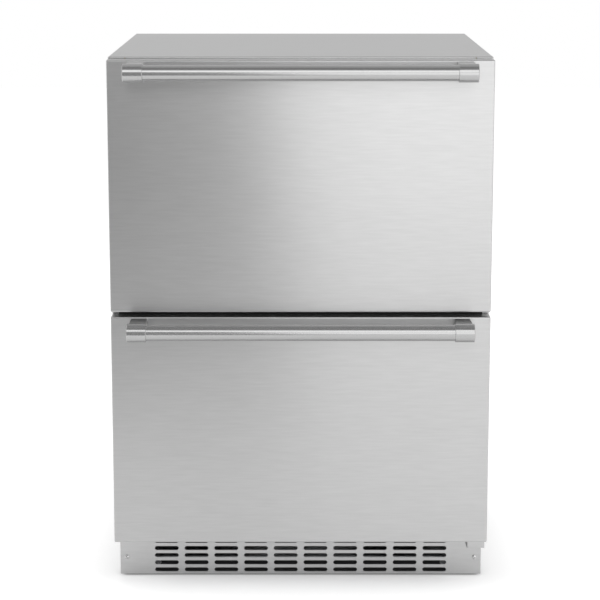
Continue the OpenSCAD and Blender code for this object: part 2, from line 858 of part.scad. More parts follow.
// The sealed shell, revolved, on its foot plate
module compressor() {
    r = comp_d / 2;
    crown = comp_h / 4;
    dome = r * 1.1;
    color([0.10, 0.10, 0.11]) {
        difference() {
            union() {
                translate([comp_x, comp_y, shell_z])
                    rotate_extrude() {
                        rect([0, r], [crown, comp_h - crown]);
                        intersection() {
                            rect([0, r], [0, crown + over]);
                            translate([0, crown + dome])
                                circle(dome + crown + 4);
                        }
                        intersection() {
                            rect([0, r], [comp_h - crown - over, comp_h]);
                            translate([0, comp_h - crown - dome])
                                circle(dome + crown + 1);
                        }
                        // The welded seam
                        rect([0, r + 4], [comp_h * 0.56, comp_h * 0.56 + 4]);
                    }
                along_z([comp_z, shell_z])
                    round_rect([comp_x - r * 0.92, comp_x + r * 0.92],
                        [comp_y - r * 0.92, comp_y + r * 0.92], grommet_d / 2);
                // Terminal cover on the left side
                block([comp_x - r - terminal_d, comp_x - r * 0.6],
                    [comp_y - terminal_w / 2, comp_y + terminal_w / 2],
                    [shell_z + comp_h * 0.2, shell_z + comp_h * 0.5]);
            }
            for (at = grommet_at)
                rod_z(at[0], at[1], [comp_z - over, shell_z + over], grommet_d / 2 + 2 * seat);
        }
        for (x = [suction_x, discharge_x])
            rod_z(x, comp_y, [shell_z + comp_h * 0.8, stub_z], line_d + 2);
    }
}

// Where the grommets stand, at the plate's corners
grommet_at = [for (sx = [-1, 1], sy = [-1, 1])
    [comp_x + sx * comp_d * 0.38, comp_y + sy * comp_d * 0.38]];

// Four rubber feet with their studs, under the compressor's plate
module compressor_grommets() {
    color([0.16, 0.16, 0.17])
        for (at = grommet_at)
            translate([at[0], at[1], pan_top])
                rotate_extrude()
                    polygon([[0, seat], [grommet_d / 2, seat], [grommet_d / 2, grommet_h - seat],
                        [grommet_d / 4, grommet_h - seat], [grommet_d / 4, grommet_h + 5],
                        [0, grommet_h + 5]]);
}

// A coil: one tube wound back and forth through upright fins between two end plates
module finned_coil(x, y, z, passes, fins) {
    pitch = (z[1] - z[0]) / passes;
    y_mid = (y[0] + y[1]) / 2;
    fin_step = (x[1] - x[0]) / (fins + 1);
    turn = pitch / 2;
    x_tube = [x[0] + turn, x[1] - turn];
    for (i = [0:passes - 1])
        rod_x([x_tube[0], i == 0 || i == passes - 1 ? x[1] : x_tube[1]], y_mid,
            z[0] + (i + 0.5) * pitch, tube_d);
    for (i = [0:passes - 2])
        translate([i % 2 == 0 ? x_tube[0] : x_tube[1], y_mid, z[0] + (i + 1) * pitch])
            rotate([90, i % 2 == 0 ? -90 : 90, 0])
                rotate_extrude(angle = 180)
                    translate([turn, 0])
                        circle(d = tube_d);
    for (k = [1:fins])
        if (x[0] + k * fin_step > x_tube[0] + 2 && x[0] + k * fin_step < x_tube[1] - 2)
            block([x[0] + k * fin_step, x[0] + k * fin_step + fin_t], [y[0] + 2, y[1] - 2],
                [z[0] + 6, z[1] - 4]);
    // End plates, which also stand or hang the coil
    for (px = [x_tube[0], x_tube[1] - 2 * fin_t])
        block([px, px + 2 * fin_t], y, z);
}

module condenser() {
    color([0.14, 0.14, 0.15])
        finned_coil(cond_x, cond_y, cond_z, cond_passes, cond_fins);
}

// A plate and a ring round the fan, with arms that hold the motor
module fan_shroud() {
    ring_d = fan_d + 2 * blade_gap;
    rim = fan_d / 2 + shroud_rim;
    color([0.15, 0.15, 0.16])
    difference() {
        union() {
            block([fan_at[0] - rim, fan_at[0] + rim], shroud_y, [cond_z[0], fan_at[1] + rim]);
            rod_y(fan_at[0], [shroud_y[0], arm_y[1]], fan_at[1], ring_d + 4);
        }
        difference() {
            rod_y(fan_at[0], [shroud_y[0] - over, arm_y[1] + over], fan_at[1], ring_d);
            for (i = [0:2])
                translate([fan_at[0], arm_y[0], fan_at[1]])
                    rotate([0, i * 120 + 30, 0])
                        block([0, ring_d / 2 + 1], [0, 2 * shroud_t], [-4, 4]);
            rod_y(fan_at[0], arm_y, fan_at[1], motor_d * 0.8);
        }
        rod_y(fan_at[0], [arm_y[0] - over, arm_y[1] + over], fan_at[1], shaft_d + 6);
    }
}

// A fan motor lying along Y: can with ribs, and the blind bore that its shaft turns in
module fan_motor(x, y, z, d) {
    color([0.30, 0.31, 0.33])
    difference() {
        union() {
            rod_y(x, y, z, d);
            for (i = [0:7])
                translate([x, y[0] + (y[1] - y[0]) * 0.25, z])
                    rotate([0, i * 45, 0])
                        translate([d / 2 - over, 0, -1])
                            cube([over + 1.5, (y[1] - y[0]) * 0.5, 2]);
        }
        rod_y(x, [y[0] - over, y[1] - 6], z, shaft_d + 2 * shaft_play);
    }
}

module condenser_fan_motor() fan_motor(fan_at[0], motor_y, fan_at[1], motor_d);

// A fan rotor lying along Y: cupped hub, pitched and cambered blades, and its shaft
module fan_rotor(x, y, z, d, shaft_end) {
    hub = d * 0.27;
    bow = (d - hub) * 0.8;
    chord = d * 0.42;
    color([0.22, 0.23, 0.25])
    translate([x, y + hub_len, z])
        rotate([90, 0, 0]) {
            difference() {
                cylinder(h = hub_len, d = hub);
                translate([0, 0, hub_len - 2])
                    cylinder(h = 2 + over, d = hub * 0.5);
            }
            translate([0, 0, -shaft_end])
                cylinder(h = shaft_end + over, d = shaft_d);
            for (i = [0:blade_count - 1])
                rotate([0, 0, i * 360 / blade_count])
                    intersection() {
                        difference() {
                            cylinder(h = hub_len, d = d);
                            translate([0, 0, -over])
                                cylinder(h = hub_len + 2 * over, d = hub - 2);
                        }
                        translate([0, 0, hub_len / 2])
                            rotate([blade_pitch, 0, 0])
                                translate([0, 0, -bow + blade_t])
                                    intersection() {
                                        rotate([0, 90, 0])
                                            difference() {
                                                cylinder(h = d, r = bow);
                                                translate([0, 0, -over])
                                                    cylinder(h = d + 2 * over, r = bow - blade_t);
                                            }
                                        translate([0, -chord / 2, 0])
                                            cube([d, chord, bow + over]);
                                    }
                    }
        }
}

module condenser_fan_rotor()
    fan_rotor(fan_at[0], arm_y[0] - motor_gap - hub_len, fan_at[1], fan_d,
        motor_y[0] - arm_y[0] + motor_gap + motor_len / 2);

// A shallow tray between the drier and the compressor
module condensate_tray() {
    x = [drier_at[0] + drier_d / 2 + tray_gap, comp_x - comp_d / 2 - terminal_d - tray_gap];
    y_end = y_cover - pan_t - sheet_t - 3 * seat;
    y = [y_end - tray_d, y_end];
    z = [pan_top + seat, pan_top + seat + tray_h];
    color([0.20, 0.20, 0.21])
    difference() {
        along_z(z) round_rect(x, y, tray_r);
        along_z([z[0] + tray_t, z[1] + over])
            round_rect([x[0] + tray_t, x[1] - tray_t], [y[0] + tray_t, y[1] - tray_t],
                tray_r - tray_t);
    }
}

// Carries the defrost water from the step of the liner down to the tray
module drain_tube() {
    z = [pan_top + tray_t + 3 * seat, step_z - liner_t - seat];
    color([0.85, 0.85, 0.84])
    difference() {
        rod_z(drain_at[0], drain_at[1], z, drain_d + 2 * drain_wall);
        rod_z(drain_at[0], drain_at[1], [z[0] - over, z[1] + over], drain_d);
        block([-drain_d, drain_d], [drain_at[1] - drain_d, drain_at[1]],
            [z[0] - over, z[0] + drain_d / 2]);
    }
}

// A tube along a path of points, with round bends; each leg is longer than two bend radii
module bent_tube(path, r, d) {
    last = len(path) - 1;
    function unit(v) = v / norm(v);
    for (i = [0:last - 1]) {
        dir = unit(path[i + 1] - path[i]);
        from = path[i] + (i == 0 ? 0 : r) * dir;
        to = path[i + 1] - (i == last - 1 ? 0 : r) * dir;
        turn_to(from, dir)
            cylinder(h = norm(to - from), d = d);
    }
    for (i = [1:last - 1]) {
        a = unit(path[i] - path[i - 1]);
        b = unit(path[i + 1] - path[i]);
        c = cross(a, b);
        at = path[i] - r * a + r * b;
        multmatrix([[-b[0], a[0], c[0], at[0]], [-b[1], a[1], c[1], at[1]],
            [-b[2], a[2], c[2], at[2]], [0, 0, 0, 1]])
            rotate_extrude(angle = 90)
                translate([r, 0])
                    circle(d = d);
    }
}

// Stand the Z axis along one of the frame's own directions, at a point
module turn_to(at, dir)
    translate(at)
        rotate([dir[1] != 0 ? -90 * dir[1] : dir[2] < 0 ? 180 : 0, dir[0] != 0 ? 90 * dir[0] : 0, 0])
            children();

// Discharge from the compressor to the condenser's top, and suction up to the ceiling
module refrigerant_lines() {
    rise = stub_z + 2 * line_r;
    top = cond_z[1] - coil_pitch / 2;
    down_x = cond_x[1] + 3 * line_r + line_d;
    color([0.72, 0.45, 0.28]) {
        bent_tube([[discharge_x, comp_y, stub_z + seat], [discharge_x, comp_y, rise],
            [down_x, comp_y, rise], [down_x, coil_mid_y, rise], [down_x, coil_mid_y, top],
            [cond_x[1] + seat, coil_mid_y, top]], line_r, line_d);
        rod_z(suction_x, comp_y, [stub_z + seat, bay_h - seat], line_d);
    }
}

// The drier between the condenser's outlet and the capillary that rises to the ceiling
module filter_drier() {
    z_in = cond_z[0] + coil_pitch / 2;
    color([0.75, 0.50, 0.32]) {
        bent_tube([[cond_x[1] + seat, coil_mid_y, z_in], [drier_at[0], coil_mid_y, z_in],
            [drier_at[0], drier_at[1], z_in], [drier_at[0], drier_at[1], drier_z[0] + over]],
            line_r, line_d);
        translate([drier_at[0], drier_at[1], 0])
            rotate_extrude()
                polygon([[0, drier_z[0]], [line_d / 2, drier_z[0]],
                    [drier_d / 2, drier_z[0] + drier_cone], [drier_d / 2, drier_z[1] - drier_cone],
                    [line_d / 4, drier_z[1]], [0, drier_z[1]]]);
        rod_z(drier_at[0], drier_at[1], [drier_z[1] - over, bay_h - seat], line_d / 2);
    }
}

// ---------------------------------------------------------------- cold side

module evaporator() {
    x = [-evap_w / 2, evap_w / 2];
    color([0.80, 0.81, 0.82])
        finned_coil(x, [y_liner_back - seat - evap_t, y_liner_back - seat], evap_z, 4, evap_fins);
}

// The cover's outline over its depth, inset by a wall for its hollow; the round
// upper corners follow the liner's
module cover_block(inset, y) {
    x = liner_half - seat - inset;
    r = liner_r - seat - inset;
    intersection() {
        block([-x, x], y, [evap_cover_z[0] + inset, evap_cover_z[1]]);
        along_y(y)
            round_rect([-x, x], [evap_cover_z[0] - 2 * liner_r, evap_cover_z[1] - inset], r);
    }
}

// A tray-shaped cover with a fan grille above and return slots below
module evaporator_cover() {
    fan_r = evap_fan_d / 2 + blade_gap;
    bar_step = 2 * fan_r / (2 * grille_bars + 1.4);
    return_step = evap_w / return_slots;
    y = [y_evap, y_liner_back - seat];
    cut_y = [y[0] - over, y[0] + evap_wall + over];
    color([0.90, 0.90, 0.90])
    difference() {
        cover_block(0, y);
        cover_block(evap_wall, [y[0] + evap_wall, y[1] + over]);
        along_y(cut_y)
            intersection() {
                translate([0, evap_fan_z])
                    circle(fan_r);
                for (i = [-grille_bars:grille_bars])
                    translate([0, evap_fan_z + i * bar_step])
                        square([3 * fan_r, bar_step * 0.56], center = true);
            }
        along_y(cut_y)
            for (i = [0:return_slots - 1])
                translate([(i - (return_slots - 1) / 2) * return_step,
                    evap_cover_z[0] + evap_wall + 2 * return_h])
                    obround(return_step - return_bar, return_h);
    }
}

module evaporator_fan_motor() fan_motor(0, evap_motor_y, evap_fan_z, evap_motor_d);

module evaporator_fan_rotor()
    fan_rotor(0, evap_blade_y, evap_fan_z, evap_fan_d,
        motor_gap + (evap_motor_y[1] - evap_motor_y[0]) / 2);

// ---------------------------------------------------------------- electrics

module control_box() {
    x = [half_w - box_side - box_w, half_w - box_side];
    z = [bay_h - seat - box_h, bay_h - seat];
    lip = 14;
    color([0.80, 0.80, 0.78])
    difference() {
        block(x, [y_bay + seat, y_bay + seat + box_d], z);
        for (i = [0:5])
            block([x[0] + lip + i * 9, x[0] + lip + i * 9 + 4],
                [y_bay + box_d - 2, y_bay + box_d + over], [z[0] + lip, z[1] - lip]);
    }
}

// A wedge under the ceiling whose dark face looks down and forwards
module touch_control() {
    y = y_frame + touch_set;
    z = liner_z[1] - seat;
    color([0.06, 0.06, 0.07])
        along_x([-touch_w / 2, touch_w / 2])
            polygon([[y, z], [y, z - touch_h / 3], [y + touch_d * 0.7, z - touch_h],
                [y + touch_d, z - touch_h], [y + touch_d, z]]);
}

module light_strip() {
    y = y_frame + touch_set + touch_d + light_gap;
    z = liner_z[1] - seat;
    color([0.97, 0.97, 0.93])
        along_x([-light_w / 2, light_w / 2])
            polygon([[y, z], [y + light_h / 2, z - light_h], [y + light_d - light_h / 2,
                z - light_h], [y + light_d, z]]);
}

// ---------------------------------------------------------------- runners

// A channel lying along Y: a web at u and two flanges, drawn from the liner's wall inwards
module channel(u_web, u_flange, half) {
    x = [for (u = [u_flange[1], u_flange[0]]) runner_out - u];
    x_web = [runner_out - u_web - runner_sheet, runner_out - u_web];
    y = [y_frame + runner_start, y_frame + runner_start + runner_len];
    block(x_web, y, [-half, half]);
    for (side = [-1, 1])
        translate([0, 0, side * (half - runner_sheet / 2)])
            block(x, y, [-runner_sheet / 2, runner_sheet / 2]);
}

runner_half = [runner_h / 2, runner_h / 2 - runner_sheet - runner_play,
    runner_h / 2 - 2 * (runner_sheet + runner_play)];
mid_web = (runner_t - runner_sheet) / 2;

// The member on the cabinet: its lips turn in over the middle member
module outer_runner() {
    channel(0, [0, runner_lip], runner_half[0]);
    for (side = [-1, 1])
        translate([0, 0, side * (runner_half[0] - runner_sheet)])
            block([runner_out - runner_sheet, runner_out],
                [y_frame + runner_start, y_frame + runner_start + runner_len],
                [-runner_sheet, runner_sheet]);
}

// The member between: flanges to both sides of its web
module mid_runner()
    channel(mid_web, [runner_sheet + runner_play, runner_lip], runner_half[1]);

// The member on the bin
module inner_runner()
    channel(runner_t - runner_sheet, [mid_web + runner_sheet + runner_play, runner_t],
        runner_half[2]);

module upper_outer_runners()
    color([0.70, 0.71, 0.73])
        translate([0, 0, upper_runner_z])
            both_sides() outer_runner();

module lower_outer_runners()
    color([0.70, 0.71, 0.73])
        translate([0, 0, lower_runner_z])
            both_sides() outer_runner();

module upper_left_mid_runner()
    color([0.66, 0.67, 0.69])
        translate([0, 0, upper_runner_z]) mirror([1, 0, 0]) mid_runner();

module upper_right_mid_runner()
    color([0.66, 0.67, 0.69])
        translate([0, 0, upper_runner_z]) mid_runner();

module lower_left_mid_runner()
    color([0.66, 0.67, 0.69])
        translate([0, 0, lower_runner_z]) mirror([1, 0, 0]) mid_runner();

module lower_right_mid_runner()
    color([0.66, 0.67, 0.69])
        translate([0, 0, lower_runner_z]) mid_runner();

module upper_inner_runners()
    color([0.70, 0.71, 0.73])
        translate([0, 0, upper_runner_z])
            both_sides() inner_runner();

module lower_inner_runners()
    color([0.70, 0.71, 0.73])
        translate([0, 0, lower_runner_z])
            both_sides() inner_runner();

// ---------------------------------------------------------------- drawers

post_x = half_w - cap_inset - cap_len / 2;

// The folded stainless tray that is a drawer's face
module front_skin(z, bar_z) {
    color([0.78, 0.78, 0.79])
    difference() {
        folded_block([-half_w, half_w], [y_face, y_skin_back], z, bend_r);
        intersection() {
            folded_block([sheet_t - half_w, half_w - sheet_t], [y_face + sheet_t, y_skin_back],
                [z[0] + sheet_t, z[1] - sheet_t], bend_r - sheet_t);
            block([-half_w, half_w], [y_face, y_skin_back - sheet_t], z);
        }
        block([hem_w - half_w, half_w - hem_w], [y_skin_back - 2 * sheet_t, y_skin_back + over],
            [z[0] + hem_w, z[1] - hem_w]);
        both_sides()
            rod_y(post_x, [y_face - over, y_face + sheet_t + over], bar_z,
                handle_screw_d + 2 * seat);
    }
}

// The clearance span of the cabinet opening that a drawer's pad goes into
function pad_z(z_open) = [z_open[0] + pad_clear, z_open[1] - pad_clear];
pad_half = liner_half - runner_t - pad_clear;
upper_open = [mullion_z[1], liner_z[1]];
lower_open = [liner_z[0], mullion_z[0]];

// The insulation inside a drawer front, filling the pad too
module front_foam(z, z_open, bar_z) {
    edge = sheet_t + seat;
    pad = pad_z(z_open);
    wall = panel_t + seat;
    color([0.93, 0.86, 0.62])
    difference() {
        union() {
            folded_block([edge - half_w, half_w - edge], [y_face + edge, y_skin_back - wall],
                [z[0] + edge, z[1] - edge], bend_r);
            block([wall - pad_half, pad_half - wall], [y_skin_back - wall - over, y_pad - wall],
                [pad[0] + wall, pad[1] - wall]);
        }
        both_sides()
            rod_y(post_x, [y_face, y_skin_back - wall - over], bar_z,
                2 * handle_screw_d + 2 * seat);
    }
}

// The moulded panel on the back of a front, with a hollow pad
module inner_panel(z, z_open) {
    pad = pad_z(z_open);
    color([0.93, 0.93, 0.92])
    difference() {
        union() {
            block([hem_w + seat - half_w, half_w - hem_w - seat],
                [y_skin_back - panel_t, y_skin_back], [z[0] + hem_w + seat, z[1] - hem_w - seat]);
            along_y([y_skin_back - panel_t / 2, y_pad])
                round_rect([-pad_half, pad_half], pad, pad_r);
        }
        along_y([y_skin_back - panel_t - over, y_pad - panel_t])
            rect([panel_t - pad_half, pad_half - panel_t], [pad[0] + panel_t, pad[1] - panel_t]);
    }
}

// A gasket ring: a wide foot on the drawer and a narrower bellows to the frame
module gasket(z) {
    foot = seal_gap * 0.4;
    waist = gasket_w / 5;
    y0 = y_skin_back + seat;
    y1 = y_frame - 1.5 * seat;
    module ring(inset, width, y)
        along_y(y)
            difference() {
                round_rect([-half_w + inset, half_w - inset], [z[0] + inset, z[1] - inset],
                    bend_r + 2);
                rect([-half_w + inset + width, half_w - inset - width],
                    [z[0] + inset + width, z[1] - inset - width]);
            }
    color([0.08, 0.08, 0.08]) {
        ring(gasket_inset, gasket_w, [y0, y0 + foot]);
        ring(gasket_inset + waist, gasket_w - 2 * waist, [y0 + foot / 2, y1 - foot / 2]);
        ring(gasket_inset + waist / 2, gasket_w - waist, [y1 - foot / 2 - over / 4, y1]);
    }
}

// The open tub, with a rim over the runners
module bin(z, y_end) {
    y = [y_pad + seat, y_end];
    module tub(inset, top)
        intersection() {
            along_z([z[0] + inset, top])
                round_rect([inset - bin_half, bin_half - inset], [y[0] + inset, y[1] - inset],
                    bin_r - inset);
            along_y([y[0] + inset, y[1] - inset])
                round_rect([inset - bin_half, bin_half - inset],
                    [z[0] + inset, top + 2 * bin_r], bin_r - inset);
        }
    color([0.90, 0.91, 0.92])
    difference() {
        union() {
            tub(0, z[1]);
            along_z([z[1] - rim_t, z[1]])
                round_rect([-bin_half - rim_w, bin_half + rim_w], y, bin_r);
        }
        tub(bin_t, z[1] + over);
    }
}

// The round bar of a handle
module handle_bar(bar_z) {
    half = post_x - cap_len / 2 + bar_seat;
    color([0.80, 0.80, 0.81])
    difference() {
        rod_x([-half, half], y_bar, bar_z, bar_d);
        rod_x([-half - over, half + over], y_bar, bar_z, bar_d - 2 * bar_wall);
    }
}

// The right-hand end of a handle: a cap round the bar's end on a flared post
module handle_post(bar_z) {
    x_in = post_x - cap_len / 2;
    x_out = x_in + cap_len;
    y_neck = y_bar + cap_d / 3;
    y_foot = y_face - seat;
    color([0.80, 0.80, 0.81])
    difference() {
        union() {
            translate([x_in, y_bar, bar_z])
                rotate([0, 90, 0])
                    rotate_extrude() {
                        rect([0, cap_d / 2], [cap_edge / 2, cap_len - cap_edge]);
                        rect([0, cap_d / 2 - cap_edge / 2], [0, cap_len - cap_edge]);
                        rect([0, cap_d / 2 - cap_edge], [0, cap_len]);
                        translate([cap_d / 2 - cap_edge, cap_len - cap_edge])
                            circle(cap_edge);
                    }
            along_z([bar_z - post_h / 2, bar_z + post_h / 2])
                polygon([[x_in, y_foot], [x_in + cap_edge / 2, y_neck],
                    [x_in + cap_edge / 2, y_bar], [x_out - cap_edge, y_bar],
                    [x_out - cap_edge, y_neck], [x_in + post_w, y_foot]]);
        }
        rod_x([x_in - over, x_in + bar_seat + seat], y_bar, bar_z, bar_d + 2 * stud_play);
        rod_y(post_x, [y_face - handle_screw_len - 2, y_face], bar_z,
            handle_screw_d + 2 * stud_play);
    }
}

// The two screws that come through a front's skin into its handle posts
module handle_screws(bar_z) {
    color([0.70, 0.70, 0.72])
        both_sides()
            translate([post_x, y_face + sheet_t + seat, bar_z])
                rotate([90, 0, 0])
                    rotate_extrude() {
                        rect([0, handle_screw_d], [-handle_screw_d * 0.7, 0]);
                        rect([0, handle_screw_d / 2], [-over, handle_screw_len + sheet_t]);
                    }
}

module upper_front_skin() front_skin(upper_z, upper_bar_z);
module upper_front_foam() front_foam(upper_z, upper_open, upper_bar_z);
module upper_inner_panel() inner_panel(upper_z, upper_open);
module upper_gasket() gasket(upper_z);
module upper_bin() bin(upper_bin_z, y_evap - bin_back_clear);
module upper_handle_bar() handle_bar(upper_bar_z);
module upper_left_handle_post() mirror([1, 0, 0]) handle_post(upper_bar_z);
module upper_right_handle_post() handle_post(upper_bar_z);
module upper_handle_screws() handle_screws(upper_bar_z);

module lower_front_skin() front_skin(lower_z, lower_bar_z);
module lower_front_foam() front_foam(lower_z, lower_open, lower_bar_z);
module lower_inner_panel() inner_panel(lower_z, lower_open);
module lower_gasket() gasket(lower_z);
module lower_bin() bin(lower_bin_z, y_step - bin_back_clear);
module lower_handle_bar() handle_bar(lower_bar_z);
module lower_left_handle_post() mirror([1, 0, 0]) handle_post(lower_bar_z);
module lower_right_handle_post() handle_post(lower_bar_z);
module lower_handle_screws() handle_screws(lower_bar_z);

outer_wrapper();
back_panel();
cabinet_foam();
cabinet_liner();
bottom_deck();
center_mullion();
base_pan();
toe_grille();
grille_screws();
corner_bracket();
bay_cover();
cord_gland();
compressor();
compressor_grommets();
condenser();
fan_shroud();
condenser_fan_motor();
condenser_fan_rotor();
condensate_tray();
drain_tube();
refrigerant_lines();
filter_drier();
evaporator();
evaporator_cover();
evaporator_fan_motor();
evaporator_fan_rotor();
control_box();
touch_control();
light_strip();
upper_outer_runners();
lower_outer_runners();
upper_left_mid_runner();
upper_right_mid_runner();
lower_left_mid_runner();
lower_right_mid_runner();
front_left_foot();
front_right_foot();
rear_left_foot();
rear_right_foot();
upper_front_skin();
upper_front_foam();
upper_inner_panel();
upper_gasket();
upper_bin();
upper_inner_runners();
upper_handle_bar();
upper_left_handle_post();
upper_right_handle_post();
upper_handle_screws();
lower_front_skin();
lower_front_foam();
lower_inner_panel();
lower_gasket();
lower_bin();
lower_inner_runners();
lower_handle_bar();
lower_left_handle_post();
lower_right_handle_post();
lower_handle_screws();
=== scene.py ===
# %% [markdown]
# # An undercounter refrigerator with two drawers
# Everything on it is either folded sheet, turned or bent metal, or moulded plastic. The
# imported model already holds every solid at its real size, so this lesson only does two
# things. It gives each solid its finish, and it makes anew the few pieces whose soft folds
# and turned edges catch the light: the drawer fronts, the handles, the gaskets, the bins and
# the corner bracket.

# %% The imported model
import math

import bpy
import numpy as np
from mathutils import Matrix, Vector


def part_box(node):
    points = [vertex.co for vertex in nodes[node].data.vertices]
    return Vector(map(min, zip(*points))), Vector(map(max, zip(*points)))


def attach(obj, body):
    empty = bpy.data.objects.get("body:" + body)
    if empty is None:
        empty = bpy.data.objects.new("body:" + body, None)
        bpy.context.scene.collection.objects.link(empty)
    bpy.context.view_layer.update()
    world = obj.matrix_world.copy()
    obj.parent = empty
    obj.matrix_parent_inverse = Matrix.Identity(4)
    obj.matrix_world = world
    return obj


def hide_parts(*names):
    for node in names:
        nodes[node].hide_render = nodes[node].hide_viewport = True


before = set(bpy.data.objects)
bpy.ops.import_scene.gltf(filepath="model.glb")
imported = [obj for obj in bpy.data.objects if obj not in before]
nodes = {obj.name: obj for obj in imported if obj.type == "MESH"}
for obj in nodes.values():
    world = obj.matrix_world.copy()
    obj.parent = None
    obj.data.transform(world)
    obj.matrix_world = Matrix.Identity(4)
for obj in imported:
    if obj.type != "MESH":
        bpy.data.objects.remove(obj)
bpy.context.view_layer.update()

MM = 0.001

# %% [markdown]
# ## The camera
# The photograph looks straight at the fronts from a little above the cabinet, so that its
# top shows as a narrow wedge. The lens is long, which keeps the upright edges near parallel.
# The camera is put down by its height, its distance and its tilt, all as real sizes.

# %% Camera
CAMERA_HEIGHT = 1.117
CAMERA_DISTANCE = 3.25
CAMERA_SIDE = -0.001
CAMERA_TILT = math.radians(10.97)
LENS_PIXELS = 2062.0
PICTURE_PIXELS = 600
SENSOR_MM = 36.0
FAR_CLIP = 100.0

frame_plane_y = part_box("outer_wrapper")[0][1]
camera_data = bpy.data.cameras.new("photo_camera")
camera_data.sensor_width = SENSOR_MM
camera_data.lens = LENS_PIXELS / PICTURE_PIXELS * SENSOR_MM
camera_data.clip_end = FAR_CLIP
camera = bpy.data.objects.new("photo_camera", camera_data)
camera.location = (CAMERA_SIDE, frame_plane_y - CAMERA_DISTANCE, CAMERA_HEIGHT)
camera.rotation_euler = (math.pi / 2 - CAMERA_TILT, 0, 0)
bpy.context.collection.objects.link(camera)
bpy.context.scene.camera = camera
bpy.context.scene.view_settings.view_transform = "Standard"
print(f"lens {camera_data.lens:.1f} mm")

# %% [markdown]
# ## Surfaces from arrays
# A folded or turned piece is a row of rings. Each ring is a closed line of points, and
# neighbouring rings are joined by four-sided faces. So one array of rings by points by three
# coordinates holds a whole surface, and numpy can work it out without a loop over points.
# A shell is closed by a flat face over its first and its last ring, or by joining the last
# ring back to the first, as on a gasket.

# %% Rings to a mesh
def shell_faces(rings, wrap, start):
    """Four-sided faces between neighbouring rings, with a flat face over both open ends.
    Point j of ring i has number start + i * points_per_ring + j."""
    rows, columns = rings.shape[:2]
    i = np.arange(rows if wrap else rows - 1)[:, None]
    j = np.arange(columns)[None, :]
    near, far = i * columns, (i + 1) % rows * columns
    right = (j + 1) % columns
    quads = np.stack([near + j, far + j, far + right, near + right], axis=-1)
    faces = (quads.reshape(-1, 4) + start).tolist()
    if not wrap:
        first = start + np.arange(columns)
        last = start + (rows - 1) * columns + np.arange(columns)[::-1]
        faces += [first.tolist(), last.tolist()]
    return faces


def shell_volume(rings, wrap):
    """Signed volume inside a shell, from the fan of triangles that each face makes with the
    shell's middle: a sixth of the sum of a . (b x c)."""
    p = rings - rings.reshape(-1, 3).mean(axis=0)
    total = 0.0
    if not wrap:
        for ring, sign in ((p[0], 1), (p[-1], -1)):
            middle = np.broadcast_to(ring.mean(axis=0), ring.shape)
            fan = np.cross(ring, np.roll(ring, -1, axis=0))
            total += sign * np.einsum("jk,jk->", middle, fan)
    rows = slice(None) if wrap else slice(-1)
    q = np.roll(p, -1, axis=1)
    above_p, above_q = np.roll(p, -1, axis=0)[rows], np.roll(q, -1, axis=0)[rows]
    total += np.einsum("ijk,ijk->", p[rows], np.cross(above_p, above_q))
    total += np.einsum("ijk,ijk->", p[rows], np.cross(above_q, q[rows]))
    return total / 6


def make_piece(name, shells, body, material, replaced=(), sharp=35):
    """One object made of closed shells, each an array of rings, or a pair of such an array
    and True where its last ring joins its first. Faces are turned to point outwards."""
    points, faces, start = [], [], 0
    for shell in shells:
        rings, wrap = shell if isinstance(shell, tuple) else (shell, False)
        if shell_volume(rings, wrap) < 0:
            rings = rings[:, ::-1]
        faces += shell_faces(rings, wrap, start)
        points.append(rings.reshape(-1, 3))
        start += rings.shape[0] * rings.shape[1]
    mesh = bpy.data.meshes.new(name)
    mesh.from_pydata(np.concatenate(points).tolist(), [], faces)
    mesh.polygons.foreach_set("use_smooth", np.ones(len(mesh.polygons), dtype=bool))
    mesh.set_sharp_from_angle(angle=math.radians(sharp))
    mesh.materials.append(material)
    piece = bpy.data.objects.new(name, mesh)
    bpy.context.collection.objects.link(piece)
    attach(piece, body)
    if replaced:
        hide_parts(*replaced)
    return piece


# %% Rings of a few useful outlines
CORNER_STEPS = 8
TURNED_SIDES = 96


def rounded_ring(x, z, radius, y, steps=CORNER_STEPS):
    """A rectangle with round corners, in the plane at depth y. Corner k's arc is
    centre_k + radius * (cos t, sin t), with t running over the quarter turn from k * 90."""
    turn = np.linspace(0, math.pi / 2, steps + 1)
    quarter = np.arange(4)[:, None] * math.pi / 2
    angle = (quarter + turn).ravel()
    centre_x = np.repeat([x[1] - radius, x[0] + radius, x[0] + radius, x[1] - radius], steps + 1)
    centre_z = np.repeat([z[1] - radius, z[1] - radius, z[0] + radius, z[0] + radius], steps + 1)
    return np.stack([centre_x + radius * np.cos(angle), np.full(angle.shape, y),
                     centre_z + radius * np.sin(angle)], axis=-1)


def turned(profile, centre, sides=TURNED_SIDES):
    """A shape turned about a line along X. Its profile is rows of (x, radius), and point j
    of a ring lies at centre + radius * (cos t, sin t), with t = 360 * j / sides."""
    profile = np.asarray(profile, dtype=float)
    t = np.linspace(0, 2 * math.pi, sides, endpoint=False)
    x = np.broadcast_to(profile[:, :1], (len(profile), sides))
    y = centre[0] + profile[:, 1:] * np.cos(t)
    z = centre[1] + profile[:, 1:] * np.sin(t)
    return np.stack([x, y, z], axis=-1)


def arc(start, end, steps):
    """Angles of an arc in radians, both ends included."""
    return np.radians(np.linspace(start, end, steps + 1))


def supported(profile, distance=0.25 * MM):
    """A profile with two more points on each long stretch, a small distance from its ends.
    Smooth shading then stays flat along the stretch: a point at p + d (q - p) / |q - p|."""
    p = np.asarray(profile, dtype=float)
    step = np.diff(p, axis=0)
    length = np.linalg.norm(step, axis=1)
    along = step / np.maximum(length, 1e-9)[:, None] * distance
    long = length > 4 * distance
    first, second = p[:-1] + along, p[1:] - along
    rows = np.stack([p[:-1], first, second], axis=1)
    keep = np.stack([np.ones(len(long), dtype=bool), long, long], axis=1)
    return np.concatenate([rows.reshape(-1, p.shape[1])[keep.ravel()], p[-1:]])


print("surface helpers ready")

